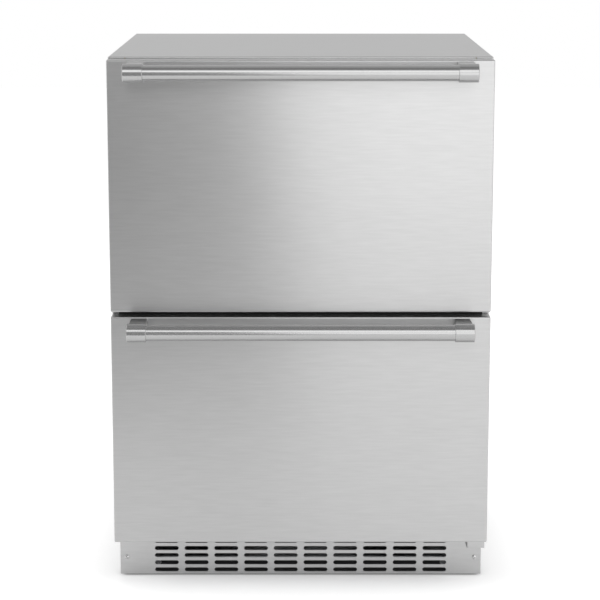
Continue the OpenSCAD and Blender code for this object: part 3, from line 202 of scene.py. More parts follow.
# %% [markdown]
# ## Finishes that vary over a surface
# No real finish is one flat colour. Brushed steel has long scratches, moulded plastic a fine
# stipple, zinc its crystals and foam its cells. Each of these is a node group: it reads the
# object's own coordinates and puts out a value that the material turns into small changes of
# colour and roughness, and a height for the bumps. The shader itself stays in the material.

# %% Node group helpers
def new_group(name, inputs, outputs):
    """An empty shader node group with float or vector inputs and float outputs."""
    group = bpy.data.node_groups.new(name, "ShaderNodeTree")
    for label, kind, value in inputs:
        socket = group.interface.new_socket(label, in_out="INPUT", socket_type=kind)
        socket.default_value = value
    for label in outputs:
        group.interface.new_socket(label, in_out="OUTPUT", socket_type="NodeSocketFloat")
    return group, group.nodes.new("NodeGroupInput"), group.nodes.new("NodeGroupOutput")


def scaled_coordinates(group, group_input):
    """Object coordinates times the group's Scale vector."""
    place = group.nodes.new("ShaderNodeTexCoord")
    scale = group.nodes.new("ShaderNodeVectorMath")
    scale.operation = "MULTIPLY"
    group.links.new(place.outputs["Object"], scale.inputs[0])
    group.links.new(group_input.outputs["Scale"], scale.inputs[1])
    return scale.outputs[0]


def noise(group, vector, detail, scale=1.0, roughness=0.5):
    """Smooth noise; each step of detail adds a finer layer, weaker by the roughness."""
    texture = group.nodes.new("ShaderNodeTexNoise")
    texture.inputs["Scale"].default_value = scale
    texture.inputs["Detail"].default_value = detail
    texture.inputs["Roughness"].default_value = roughness
    group.links.new(vector, texture.inputs["Vector"])
    return texture.outputs["Fac"]


def math_node(tree, operation, first, second=0.0):
    """A Math node in a group or a material; first and second are sockets or plain numbers."""
    node = tree.nodes.new("ShaderNodeMath")
    node.operation = operation
    for slot, value in zip(node.inputs, (first, second)):
        if isinstance(value, (int, float)):
            slot.default_value = value
        else:
            tree.links.new(value, slot)
    return node.outputs[0]


def blended(tree, first, second, share):
    """share * first + (1 - share) * second."""
    rest = math_node(tree, "SUBTRACT", 1.0, share)
    return math_node(tree, "ADD", math_node(tree, "MULTIPLY", first, share),
                     math_node(tree, "MULTIPLY", second, rest))


def map_range(tree, value, start, end, low=0.0, high=1.0, smooth=False):
    """A value that goes from start to end as the one given goes from low to high, evenly
    or by a smooth step."""
    node = tree.nodes.new("ShaderNodeMapRange")
    if smooth:
        node.interpolation_type = "SMOOTHSTEP"
    for label, number in (("From Min", low), ("From Max", high), ("To Min", start),
                          ("To Max", end)):
        node.inputs[label].default_value = number
    tree.links.new(value, node.inputs["Value"])
    return node.outputs["Result"]


# %% Brushed grain
LOOKS_SIDEWAYS = 0.7
# A Mix node has sockets of its own for vectors, found by their places in its lists.
MIX_VECTOR_A, MIX_VECTOR_B, MIX_VECTOR_RESULT = 4, 5, 1
FINE_SHARE = 0.85
BROAD_SCALE = 0.13
CLOUD_SCALE = 3.0


def follow_the_fold(group, group_input):
    """Scaled coordinates that turn with a folded sheet: on a face that looks along X, the
    Scale's X and Y change places, so that the grain runs on round the corner."""
    split = group.nodes.new("ShaderNodeSeparateXYZ")
    group.links.new(group_input.outputs["Scale"], split.inputs[0])
    turned_scale = group.nodes.new("ShaderNodeCombineXYZ")
    for source, target in (("Y", "X"), ("X", "Y"), ("Z", "Z")):
        group.links.new(split.outputs[source], turned_scale.inputs[target])
    place = group.nodes.new("ShaderNodeTexCoord")
    facing = group.nodes.new("ShaderNodeSeparateXYZ")
    group.links.new(place.outputs["Normal"], facing.inputs[0])
    sideways = math_node(group, "GREATER_THAN",
                         math_node(group, "ABSOLUTE", facing.outputs["X"]), LOOKS_SIDEWAYS)
    scale = group.nodes.new("ShaderNodeMix")
    scale.data_type = "VECTOR"
    group.links.new(sideways, scale.inputs["Factor"])
    group.links.new(group_input.outputs["Scale"], scale.inputs[MIX_VECTOR_A])
    group.links.new(turned_scale.outputs[0], scale.inputs[MIX_VECTOR_B])
    product = group.nodes.new("ShaderNodeVectorMath")
    product.operation = "MULTIPLY"
    group.links.new(place.outputs["Object"], product.inputs[0])
    group.links.new(scale.outputs[MIX_VECTOR_RESULT], product.inputs[1])
    return product.outputs[0]


def build_brushed_grain():
    """Long scratches: noise squeezed across the grain and drawn out along it, at two sizes,
    with a slow cloud over both, as an abrasive belt leaves them."""
    group, start, end = new_group("brushed_grain", [
        ("Scale", "NodeSocketVector", (4.0, 900.0, 900.0)),
        ("Cloud", "NodeSocketFloat", 0.30)], ["Shade", "Height"])
    place = follow_the_fold(group, start)
    fine = noise(group, place, 1.0)
    lines = blended(group, fine, noise(group, place, 2.0, BROAD_SCALE), FINE_SHARE)
    object_place = group.nodes.new("ShaderNodeTexCoord").outputs["Object"]
    cloud = noise(group, object_place, 2.0, CLOUD_SCALE)
    group.links.new(blended(group, cloud, lines, start.outputs["Cloud"]), end.inputs["Shade"])
    group.links.new(fine, end.inputs["Height"])
    return group


brushed_grain = build_brushed_grain()
print("group:", brushed_grain.name)


# %% Stipple, crystals and cells
STIPPLE_SHARE = 0.45
SLOW_SCALE = 0.012
CELL_SHARE = 0.6
BLUR_SCALE = 0.4


def build_stipple():
    """A fine even grain under a slow change of tone: moulded plastic, paint and rubber."""
    group, start, end = new_group("stipple", [
        ("Scale", "NodeSocketVector", (900.0, 900.0, 900.0))], ["Shade", "Height"])
    place = scaled_coordinates(group, start)
    fine = noise(group, place, 2.0)
    slow = noise(group, place, 3.0, SLOW_SCALE)
    group.links.new(blended(group, fine, slow, STIPPLE_SHARE), end.inputs["Shade"])
    group.links.new(fine, end.inputs["Height"])
    return group


def build_cells():
    """Flat-sided cells of even tone: zinc crystals when large, foam bubbles when small."""
    group, start, end = new_group("cells", [
        ("Scale", "NodeSocketVector", (80.0, 80.0, 80.0))], ["Shade", "Height"])
    place = scaled_coordinates(group, start)
    cell = group.nodes.new("ShaderNodeTexVoronoi")
    cell.inputs["Scale"].default_value = 1.0
    group.links.new(place, cell.inputs["Vector"])
    tone = group.nodes.new("ShaderNodeSeparateColor")
    group.links.new(cell.outputs["Color"], tone.inputs[0])
    blur = noise(group, place, 3.0, BLUR_SCALE, 0.6)
    group.links.new(blended(group, tone.outputs[0], blur, CELL_SHARE), end.inputs["Shade"])
    group.links.new(cell.outputs["Distance"], end.inputs["Height"])
    return group


stipple = build_stipple()
cells = build_cells()
print("groups:", stipple.name, cells.name)


# %% A finish from a group
SHADE_RANGE = (0.3, 0.7)


def finish(name, group, scale, dark, light, rough, metallic=0.0, bump=0.0, bump_depth=0.0001,
           brushed_across=None, **shader_values):
    """A material whose colour runs from dark to light and whose roughness runs over the pair
    rough, as the group's Shade runs over SHADE_RANGE, with bumps from its Height. Where
    brushed_across names an axis, reflections are drawn out around that axis."""
    material = bpy.data.materials.new(name)
    material.use_nodes = True
    tree = material.node_tree
    shader = tree.nodes["Principled BSDF"]
    shader.inputs["Metallic"].default_value = metallic
    for label, value in shader_values.items():
        shader.inputs[label.replace("_", " ")].default_value = value
    if brushed_across:
        tangent = tree.nodes.new("ShaderNodeTangent")
        tangent.direction_type = "RADIAL"
        tangent.axis = brushed_across
        tree.links.new(tangent.outputs["Tangent"], shader.inputs["Tangent"])
    effect = tree.nodes.new("ShaderNodeGroup")
    effect.node_tree = group
    effect.inputs["Scale"].default_value = scale
    shade = map_range(tree, effect.outputs["Shade"], 0.0, 1.0, *SHADE_RANGE)
    blend = tree.nodes.new("ShaderNodeMix")
    blend.data_type = "RGBA"
    blend.inputs["A"].default_value = (*dark, 1)
    blend.inputs["B"].default_value = (*light, 1)
    tree.links.new(shade, blend.inputs["Factor"])
    tree.links.new(blend.outputs["Result"], shader.inputs["Base Color"])
    tree.links.new(map_range(tree, shade, *rough), shader.inputs["Roughness"])
    if bump:
        relief = tree.nodes.new("ShaderNodeBump")
        relief.inputs["Strength"].default_value = bump
        relief.inputs["Distance"].default_value = bump_depth
        tree.links.new(effect.outputs["Height"], relief.inputs["Height"])
        tree.links.new(relief.outputs["Normal"], shader.inputs["Normal"])
    return material


def grey(value, warm=0.0):
    """A near-neutral colour; warm tips it towards yellow."""
    return (value * (1 + warm), value, value * (1 - warm))


def even(scale):
    """The same scale along all three axes."""
    return (scale, scale, scale)


print("finish helper ready")

# %% [markdown]
# ## Stainless steel
# The fronts, the wrapper and the toe grille are sheet with a long horizontal grain. A picture
# of scratches would show its seams at the folds, so the scratches are noise drawn out along
# X, which turns with the sheet round its upright corners. Steel reflects about six tenths of
# the light, and the brushing shows as a soft reflection, a little softer across the grain.
# The bars and caps are finished going round, and are brighter. The posts are cast and duller.

# %% Stainless finishes
GRAIN_ALONG_X = (24.0, 310.0, 310.0)
GRAIN_AROUND_X = (900.0, 25.0, 25.0)

front_steel = finish("brushed_front_steel", brushed_grain, GRAIN_ALONG_X, grey(0.551),
                     grey(0.597), (0.290, 0.298), metallic=1.0, bump=0.01,
                     brushed_across="X", Anisotropic=0.7)
wrapper_steel = finish("brushed_wrapper_steel", brushed_grain, GRAIN_ALONG_X, grey(0.548),
                       grey(0.590), (0.298, 0.306), metallic=1.0, bump=0.01)
# painted light: the grille's and bracket's steel is lighter than the other stainless, to offset
# the shade under the fronts
grille_steel_painted_light = finish("satin_grille_steel_painted_light", brushed_grain, GRAIN_ALONG_X, grey(0.600),
                      grey(0.640), (0.325, 0.335), metallic=1.0, bump=0.01)
bar_steel = finish("drawn_bar_steel", brushed_grain, GRAIN_AROUND_X, grey(0.497),
                   grey(0.505), (0.207, 0.209), metallic=1.0)
cap_steel = finish("turned_cap_steel", brushed_grain, GRAIN_AROUND_X, grey(0.494),
                   grey(0.508), (0.207, 0.210), metallic=1.0)
post_steel = finish("cast_post_steel", stipple, even(500.0), grey(0.48),
                    grey(0.52), (0.36, 0.42), metallic=1.0, bump=0.05)
print("stainless finishes ready")

# %% [markdown]
# ## The other metals
# Hidden sheet is galvanised, and shows its zinc crystals. Runners, screws and feet are zinc
# plated. The coils, the lines and the compressor each have the metal or paint of their kind.

# %% Plated, painted and bare metals
zinc_sheet = finish("galvanised_sheet", cells, even(120.0), grey(0.50, -0.02),
                    grey(0.58, -0.02), (0.34, 0.46), metallic=1.0)
zinc_plate = finish("zinc_plate", stipple, even(500.0), grey(0.58, -0.01),
                    grey(0.66, -0.01), (0.24, 0.34), metallic=1.0, bump=0.05)
screw_steel = finish("screw_steel", brushed_grain, (60.0, 900.0, 60.0), grey(0.60),
                     grey(0.70), (0.18, 0.28), metallic=1.0, bump=0.05)
coil_aluminium = finish("fin_aluminium", brushed_grain, (60.0, 60.0, 900.0), grey(0.74),
                        grey(0.82), (0.30, 0.42), metallic=1.0, bump=0.06)
copper = finish("copper_tube", stipple, even(300.0), (0.62, 0.33, 0.20),
                (0.76, 0.45, 0.29), (0.24, 0.40), metallic=1.0, bump=0.05)
black_enamel = finish("black_enamel", stipple, even(220.0), grey(0.012),
                      grey(0.028), (0.22, 0.34), bump=0.12, Coat_Weight=0.5)
motor_paint = finish("motor_paint", stipple, even(600.0), grey(0.10),
                     grey(0.15), (0.40, 0.52), bump=0.15)
box_paint = finish("box_powder_coat", stipple, even(700.0), grey(0.62, 0.01),
                   grey(0.70, 0.01), (0.42, 0.55), bump=0.20)
print("other metals ready")

# %% [markdown]
# ## Plastics, rubber and foam
# The liner and the drawers' inner panels are moulded in a white plastic with a low sheen.
# The bins are a paler grey, the bay's parts black. Foam is matte and full of small cells.

# %% Moulded and foamed finishes
liner_plastic = finish("liner_plastic", stipple, even(700.0), grey(0.76, 0.004),
                       grey(0.82, 0.004), (0.30, 0.40), bump=0.08)
bin_plastic = finish("bin_plastic", stipple, even(600.0), grey(0.62, -0.01),
                     grey(0.69, -0.01), (0.26, 0.36), bump=0.06)
black_plastic = finish("black_plastic", stipple, even(900.0), grey(0.018),
                       grey(0.034), (0.42, 0.56), bump=0.22)
fan_plastic = finish("fan_plastic", stipple, even(700.0), grey(0.040, -0.04),
                     grey(0.062, -0.04), (0.36, 0.48), bump=0.12)
gasket_vinyl = finish("gasket_vinyl", stipple, even(800.0), grey(0.016),
                      grey(0.030), (0.52, 0.66), bump=0.15)
touch_face = finish("touch_face", stipple, even(80.0), grey(0.010),
                    grey(0.016), (0.06, 0.12), Coat_Weight=1.0)
light_lens = finish("light_lens", stipple, even(400.0), (0.86, 0.86, 0.83),
                    (0.92, 0.92, 0.89), (0.30, 0.40), bump=0.10)
drain_plastic = finish("drain_plastic", stipple, even(400.0), grey(0.60),
                       grey(0.68), (0.40, 0.50), bump=0.10)
foam = finish("insulation_foam", cells, even(700.0), (0.66, 0.55, 0.30),
              (0.80, 0.70, 0.44), (0.85, 0.95), bump=0.5, bump_depth=0.0006)
print("plastics ready")

# %% Which solid has which finish
finishes = {
    wrapper_steel: ["outer_wrapper"],
    grille_steel_painted_light: ["toe_grille"],
    screw_steel: ["grille_screws", "upper_handle_screws", "lower_handle_screws"],
    zinc_sheet: ["back_panel", "bottom_deck", "base_pan", "bay_cover"],
    zinc_plate: ["upper_outer_runners", "lower_outer_runners", "upper_left_mid_runner",
                 "upper_right_mid_runner", "lower_left_mid_runner", "lower_right_mid_runner",
                 "upper_inner_runners", "lower_inner_runners", "front_left_foot",
                 "front_right_foot", "rear_left_foot", "rear_right_foot"],
    coil_aluminium: ["evaporator"],
    copper: ["refrigerant_lines", "filter_drier"],
    black_enamel: ["compressor", "condenser"],
    motor_paint: ["condenser_fan_motor", "evaporator_fan_motor"],
    box_paint: ["control_box"],
    liner_plastic: ["cabinet_liner", "upper_inner_panel", "lower_inner_panel",
                    "evaporator_cover"],
    black_plastic: ["center_mullion", "cord_gland", "fan_shroud", "condensate_tray"],
    fan_plastic: ["condenser_fan_rotor", "evaporator_fan_rotor"],
    gasket_vinyl: ["compressor_grommets"],
    touch_face: ["touch_control"],
    light_lens: ["light_strip"],
    drain_plastic: ["drain_tube"],
    foam: ["cabinet_foam", "upper_front_foam", "lower_front_foam"],
}
for material, names in finishes.items():
    for name in names:
        nodes[name].data.materials.clear()
        nodes[name].data.materials.append(material)
print(sum(map(len, finishes.values())), "solids keep their shape and get a finish")

# %% [markdown]
# ## The drawer fronts
# A front is one steel sheet folded into a shallow tray around its insulation: the face, a
# small fold, the edge, and a hem turned in behind. A plain box would have hard corners and no
# bright line along its edges. Here an outline that shrinks and moves back makes the whole
# tray: every ring is the front's outline, inset by some distance at some depth.

# %% Folded fronts
SHEET = 1.0 * MM
FOLD = 2.0 * MM
HEM_WIDTH = 9.0 * MM
HEM_FOLD = 0.6 * MM
FOLD_STEPS = 8
FLAT_FROM_FOLD = 1.2 * MM
LEAST_FRONT_CORNER = 0.25 * MM


def folded_profile(depth):
    """Rows of (inset, depth) from the middle of the face, round the fold, back along the
    edge, round the hem and forward again inside, a sheet's thickness behind the face.
    On a fold of radius r, inset = r - r * sin t and depth = r - r * cos t."""
    t = arc(0, 90, FOLD_STEPS)
    outside = np.stack([FOLD * (1 - np.sin(t)), FOLD * (1 - np.cos(t))], axis=-1)
    h = arc(0, 90, FOLD_STEPS // 2)
    hem = np.stack([HEM_FOLD * (1 - np.cos(h)), depth - HEM_FOLD * (1 - np.sin(h))], axis=-1)
    inner = FOLD - SHEET
    inside = np.stack([SHEET + inner * (1 - np.sin(t)), SHEET + inner * (1 - np.cos(t))],
                      axis=-1)
    face, behind = [(FOLD + FLAT_FROM_FOLD, 0.0)], [(FOLD + FLAT_FROM_FOLD, SHEET)]
    back = [(HEM_WIDTH, depth), (HEM_WIDTH, depth - SHEET), (SHEET, depth - SHEET)]
    return np.concatenate([face, outside, hem, back, inside[::-1], behind])


def folded_front(level):
    """One front, as rings of its outline."""
    low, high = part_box(level + "_front_skin")
    rings = [rounded_ring((low[0] + inset, high[0] - inset), (low[2] + inset, high[2] - inset),
                          max(FOLD - inset, LEAST_FRONT_CORNER), low[1] + back)
             for inset, back in folded_profile(high[1] - low[1])]
    piece = make_piece(level + "_folded_front", [np.stack(rings)], level + "_drawer",
                       front_steel, [level + "_front_skin"], sharp=50)
    return piece


for level in ("upper", "lower"):
    print(folded_front(level).name)

# %% [markdown]
# ## The handles
# Each handle is a drawn tube held in two turned end caps, and each cap stands on a cast post.
# Plain cylinders would miss the sunk mouth, where the tube comes out, and the rounded end. So
# turned pieces are a profile spun about the bar's own line. A post is a loft: its outline
# changes from a rounded oblong on the door, as tall as the cap, to a lower one inside it.

# %% Handles
CAP_EDGE = 1.5 * MM
CAP_LIP = 0.7 * MM
CAP_MOUTH = 1.6 * MM
CAP_END_FLAT = 2.0 * MM
CAP_LIP_STEPS = 5
CAP_EDGE_STEPS = 8
BAR_OVERLAP = 0.2 * MM
BAR_RINGS = 9
POST_CORNER = 3.0 * MM
POST_STEPS = 14
POST_SIDE_GAP = 0.5 * MM
POST_WIDTH_AT_DOOR = 27.5 * MM
POST_WIDTH_IN_CAP = 29.0 * MM
POST_HALF_AT_DOOR = 14.3 * MM
POST_HALF_IN_CAP = 13.1 * MM


def bar_shell(level):
    """A drawn tube: one cylinder, its ends hidden in the caps."""
    low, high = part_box(level + "_handle_bar")
    centre = ((low[1] + high[1]) / 2, (low[2] + high[2]) / 2)
    radius = (high[2] - low[2]) / 2
    x = np.linspace(low[0], high[0], BAR_RINGS)
    return turned(np.stack([x, np.full(x.shape, radius)], axis=-1), centre), centre, radius


def cap_profile(inner_x, outer_x, bar_radius, radius):
    """Rows of (x, radius) from the bar out: the sunk mouth where the bar comes in, its small
    rounded lip, the straight side, and a rounded outer edge. On a rounding of radius e at
    the corner (c, r) the rows are x = c -+ e * (1 - sin t) and r - e * (1 - cos t)."""
    side = 1.0 if outer_x > inner_x else -1.0
    t = arc(90, 0, CAP_LIP_STEPS)
    lip = np.stack([inner_x + side * CAP_LIP * (1 - np.sin(t)),
                    radius - CAP_LIP * (1 - np.cos(t))], axis=-1)
    u = arc(0, 90, CAP_EDGE_STEPS)
    edge = np.stack([outer_x - side * CAP_EDGE * (1 - np.sin(u)),
                     radius - CAP_EDGE * (1 - np.cos(u))], axis=-1)
    mouth = [(inner_x + side * CAP_MOUTH, bar_radius - BAR_OVERLAP),
             (inner_x, bar_radius + CAP_MOUTH / 2)]
    return supported(np.concatenate([mouth, lip, edge, [(outer_x, CAP_END_FLAT)]]))


def post_rings(level, side, centre):
    """A loft from the door to the cap. With s from 0 at the door to 1 in the cap, the inner
    side stays put, the outer side grows and the height shrinks, each eased by a smooth step
    3s^2 - 2s^3."""
    low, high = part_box(f"{level}_{side}_handle_post")
    sign = 1.0 if side == "right" else -1.0
    inner = low[0] if side == "right" else high[0]
    door_y = high[1]
    s = np.linspace(0, 1, POST_STEPS)
    ease = 3 * s ** 2 - 2 * s ** 3
    y = door_y + (centre[0] - door_y) * s
    width = POST_WIDTH_AT_DOOR + (POST_WIDTH_IN_CAP - POST_WIDTH_AT_DOOR) * ease
    half_height = POST_HALF_AT_DOOR + (POST_HALF_IN_CAP - POST_HALF_AT_DOOR) * ease
    near = inner + sign * POST_SIDE_GAP
    return np.stack([rounded_ring(sorted((near, near + sign * across)),
                                  (centre[1] - half, centre[1] + half), POST_CORNER, depth)
                     for depth, across, half in zip(y, width, half_height)])


def handle(level):
    """The bar, and at each end its turned cap and its cast post."""
    body = level + "_drawer"
    bar, centre, bar_radius = bar_shell(level)
    made = [make_piece(level + "_bar", [bar], body, bar_steel, [level + "_handle_bar"])]
    for side in ("left", "right"):
        low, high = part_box(f"{level}_{side}_handle_post")
        inner, outer = (low[0], high[0]) if side == "right" else (high[0], low[0])
        radius = centre[0] - low[1]
        cap = turned(cap_profile(inner, outer, bar_radius, radius), centre)
        post = post_rings(level, side, centre)
        made += [make_piece(f"{level}_{side}_turned_cap", [cap], body, cap_steel,
                            [f"{level}_{side}_handle_post"], sharp=40),
                 make_piece(f"{level}_{side}_cast_post", [post], body, post_steel, sharp=40)]
    return made


for level in ("upper", "lower"):
    print([piece.name for piece in handle(level)])

# %% [markdown]
# ## The gaskets
# A magnetic gasket is a soft black section run round the front's edge: a foot in its groove,
# a narrow bellows, and a flat face that meets the cabinet. Its section is carried round the
# front's outline, and the last ring joins the first, so that it has no ends.

# %% Gaskets
GASKET_INSET = 11.0 * MM
GASKET_WIDTH = 14.0 * MM
GASKET_CORNER = 4.0 * MM
BELLOWS_SWING = 1.3 * MM
BELLOWS_STEPS = 12


def gasket_profile(depth):
    """Rows of (inset, depth) once round the section. The two sides of the bellows swing in
    and out as a cosine over the depth."""
    s = np.linspace(0, 1, BELLOWS_STEPS + 1)
    swing = BELLOWS_SWING * (0.5 - 0.5 * np.cos(4 * math.pi * s))
    outer = np.stack([GASKET_INSET + swing, depth * s], axis=-1)
    inner = np.stack([GASKET_INSET + GASKET_WIDTH - swing, depth * s], axis=-1)[::-1]
    return np.concatenate([outer, inner])


def gasket(level):
    """The section's rings, from the front's outline and the gasket's own depth."""
    low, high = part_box(level + "_gasket")
    edge_low, edge_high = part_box(level + "_front_skin")
    rings = [rounded_ring((edge_low[0] + inset, edge_high[0] - inset),
                          (edge_low[2] + inset, edge_high[2] - inset), GASKET_CORNER,
                          low[1] + back)
             for inset, back in gasket_profile(high[1] - low[1])]
    piece = make_piece(level + "_bellows_gasket", [(np.stack(rings), True)],
                       level + "_drawer", gasket_vinyl, [level + "_gasket"], sharp=60)
    return piece


for level in ("upper", "lower"):
    print(gasket(level).name)

# %% [markdown]
# ## The bins
# A bin is a thin moulded tub: round corners, upright walls, a soft radius round its floor and
# a rim along both sides that hangs on the runners. A mould needs every edge a little round.
# The rings lie flat here. They start at the middle of the underside, run up the outside, over
# the rim and down the inside, and the two end rings are closed by the floor's own two faces.

# %% Moulded bins
BIN_WALL = 2.5 * MM
BIN_CORNER = 8.0 * MM
BIN_FLOOR_ROUND = 8.0 * MM
RIM_WIDTH = 6.0 * MM
RIM_THICK = 3.0 * MM
RIM_ROUND = 0.8 * MM
LEAST_CORNER = 0.3 * MM
FLOOR_ROUND_STEPS = 6
RIM_STEPS = 4


def bin_profile(bottom, top):
    """Rows of (inset from the sides, inset from the ends, height). Each rounding of radius r
    is r - r * sin t inwards and r - r * cos t upwards or downwards, over a quarter turn."""
    t, few = arc(0, 90, FLOOR_ROUND_STEPS), arc(0, 90, RIM_STEPS)
    under = BIN_FLOOR_ROUND * (1 - np.sin(t))
    outside = np.stack([RIM_WIDTH + under, under,
                        bottom + BIN_FLOOR_ROUND * (1 - np.cos(t))], axis=-1)
    edge = RIM_ROUND * (1 - np.sin(few))
    flat = np.zeros_like(edge)
    lower_lip = np.stack([edge, flat, top - RIM_THICK + RIM_ROUND * (1 - np.cos(few))], axis=-1)
    upper_lip = np.stack([edge, edge, top - RIM_ROUND * (1 - np.cos(few))], axis=-1)[::-1]
    inner_lip = np.stack([RIM_WIDTH + BIN_WALL - edge, BIN_WALL - edge,
                          top - RIM_ROUND * (1 - np.cos(few))], axis=-1)
    inner = BIN_FLOOR_ROUND - BIN_WALL
    bowl = BIN_WALL + inner * (1 - np.sin(t))
    inside = np.stack([RIM_WIDTH + bowl, bowl,
                       bottom + BIN_WALL + inner * (1 - np.cos(t))], axis=-1)[::-1]
    foot_of_rim = [(RIM_WIDTH, 0.0, top - RIM_THICK)]
    return supported(np.concatenate([outside, foot_of_rim, lower_lip, upper_lip, inner_lip,
                                     inside]))


def moulded_bin(level):
    """One tub: the rings of its profile, each a flat rectangle with round corners."""
    low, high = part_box(level + "_bin")
    rings = [rounded_ring((low[0] + side, high[0] - side), (low[1] + end, high[1] - end),
                          max(BIN_CORNER - end, LEAST_CORNER), height)[:, [0, 2, 1]]
             for side, end, height in bin_profile(low[2], high[2])]
    piece = make_piece(level + "_moulded_bin", [np.stack(rings)], level + "_drawer",
                       bin_plastic, [level + "_bin"])
    return piece


for level in ("upper", "lower"):
    print(moulded_bin(level).name)

# %% [markdown]
# ## The corner bracket
# Under the right-hand corner hangs a small angle of thick sheet. It could be two boxes, but a
# bent sheet has a round bend and slightly broken edges. So its section, a thin rectangle, is
# carried along the bend's path. The leg that runs back is coloured black as painted shade,
# for the shadow that it stands in.

# %% Bent bracket
BRACKET_SHEET = 2.5 * MM
BRACKET_BEND = 3.5 * MM
BEND_STEPS = 6
BROKEN_EDGE = 0.3 * MM
EDGE_STEPS = 2


def carried_section(path, inward, z):
    """A thin rectangle carried along a path in the XY plane: a point is path + u * inward,
    at height v, where (u, v) goes once round the sheet's own section."""
    section = rounded_ring((0.0, BRACKET_SHEET), z, BROKEN_EDGE, 0.0, EDGE_STEPS)
    u, v = section[:, 0], section[:, 2]
    flat = path[:, None, :] + u[None, :, None] * inward[:, None, :]
    height = np.broadcast_to(v[None, :, None], flat.shape[:2] + (1,))
    return np.concatenate([flat, height], axis=-1)


def corner_bracket_pieces():
    """The plate with its bend, and the leg that runs back from it, black as painted shade."""
    low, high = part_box("corner_bracket")
    z = (low[2], high[2])
    t = arc(0, 90, BEND_STEPS)
    bend = np.stack([low[0] + BRACKET_BEND * (1 - np.sin(t)),
                     low[1] + BRACKET_BEND * (1 - np.cos(t))], axis=-1)
    bend_inward = np.stack([np.sin(t), np.cos(t)], axis=-1)
    path = np.concatenate([[(high[0], low[1])], bend])
    inward = np.concatenate([[(0.0, 1.0)], bend_inward])
    plate = carried_section(path, inward, z)
    top = [rounded_ring((low[0] + BRACKET_BEND, high[0]), (low[1] + BROKEN_EDGE, high[1]),
                        BROKEN_EDGE, height, EDGE_STEPS)[:, [0, 2, 1]]
           for height in (high[2] - BRACKET_SHEET, high[2] - BROKEN_EDGE)]
    leg_path = np.array([bend[-1], (low[0], high[1])])
    leg = carried_section(leg_path, np.array([(1.0, 0.0), (1.0, 0.0)]), z)
    made = [make_piece("bent_bracket", [plate, np.stack(top)], "cabinet", grille_steel_painted_light,
                       ["corner_bracket"]),
            # painted shade: the bent sheet's rear leg gets the black plastic finish for its
            # shadow
            make_piece("bracket_leg_painted_shade", [leg], "cabinet", black_plastic)]
    return made


print([piece.name for piece in corner_bracket_pieces()])

# %% [markdown]
# ## The studio
# Steel shows what stands around it more than it shows light. So the room is white, and
# cards hang around the object as a photographer would hang them: dark and grey in front on
# the left, bright on the right, a bright strip above them, a grey header in two parts
# overhead and a card behind. Only reflections show the cards. The floor is pale, white to
# the camera away from the object. Near the object its glow fades out, which adds a painted
# shadow round the foot on top of the real soft shadow, and under the cabinet its colour is
# nearly black, as painted shade behind the toe grille's slots.

# %% Floor and room
def seen_directly(tree):
    """1 for camera, glossy and transmission rays, 0 for the others."""
    path = tree.nodes.new("ShaderNodeLightPath")
    either = math_node(tree, "MAXIMUM", path.outputs["Is Camera Ray"],
                       path.outputs["Is Glossy Ray"])
    return math_node(tree, "MAXIMUM", either, path.outputs["Is Transmission Ray"])


def stage_card(name, corners, material):
    """A flat sheet of the studio, from four corners in order."""
    mesh = bpy.data.meshes.new(name)
    mesh.from_pydata([tuple(c) for c in corners], [], [(0, 1, 2, 3)])
    mesh.materials.append(material)
    card = bpy.data.objects.new(name, mesh)
    bpy.context.collection.objects.link(card)
    return card


FLOOR_HALF = 9.0
FLOOR_ROUGH = 0.9
FLOOR_TONE = 0.80
# painted shade: the floor under the cabinet is nearly black, so the grille's slots look dark
FLOOR_PAINTED_SHADE = 0.12
PAINTED_SHADE_REACH = 0.02
FLOOR_LIFT_SEEN = 0.50
FLOOR_LIFT_MIRRORED = 0.26
# painted shadow: over these reaches the floor's glow fades out near the cabinet, and in
# reflections it drops to half
PAINTED_SHADOW_EDGE = 0.012
PAINTED_SHADOW_REACH = 0.14
PAINTED_SHADOW_EDGE_SHARE = 0.7
MIRRORED_PAINTED_SHADOW_REACH = 0.5
FOOT_INSET = 0.012
wrapper_low, wrapper_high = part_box("outer_wrapper")
toe_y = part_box("toe_grille")[0][1]
footprint = {"X": (wrapper_low[0] + FOOT_INSET, wrapper_high[0] - FOOT_INSET),
             "Y": (toe_y + FOOT_INSET, wrapper_high[1] - FOOT_INSET)}


def distance_outside(tree):
    """How far a floor point lies outside the cabinet's footprint: the length of the two
    distances past the rectangle, each max(|x - middle| - half, 0)."""
    split = tree.nodes.new("ShaderNodeSeparateXYZ")
    tree.links.new(tree.nodes.new("ShaderNodeTexCoord").outputs["Object"], split.inputs[0])
    squares = []
    for axis, (low, high) in footprint.items():
        shifted = math_node(tree, "SUBTRACT", split.outputs[axis], (low + high) / 2)
        size = math_node(tree, "ABSOLUTE", shifted)
        past = math_node(tree, "MAXIMUM", math_node(tree, "SUBTRACT", size, (high - low) / 2))
        squares.append(math_node(tree, "MULTIPLY", past, past))
    return math_node(tree, "SQRT", math_node(tree, "ADD", *squares))


def eased(value, reach, start, end):
    """In the floor's material, from start at 0 to end at reach, by a smooth step."""
    return map_range(floor_tree, value, start, end, high=reach, smooth=True)


floor_paint = bpy.data.materials.new("floor_paint")
floor_paint.use_nodes = True
floor_tree = floor_paint.node_tree
floor_shader = floor_tree.nodes["Principled BSDF"]
floor_shader.inputs["Roughness"].default_value = FLOOR_ROUGH
floor_shader.inputs["Specular IOR Level"].default_value = 0.0
away = distance_outside(floor_tree)
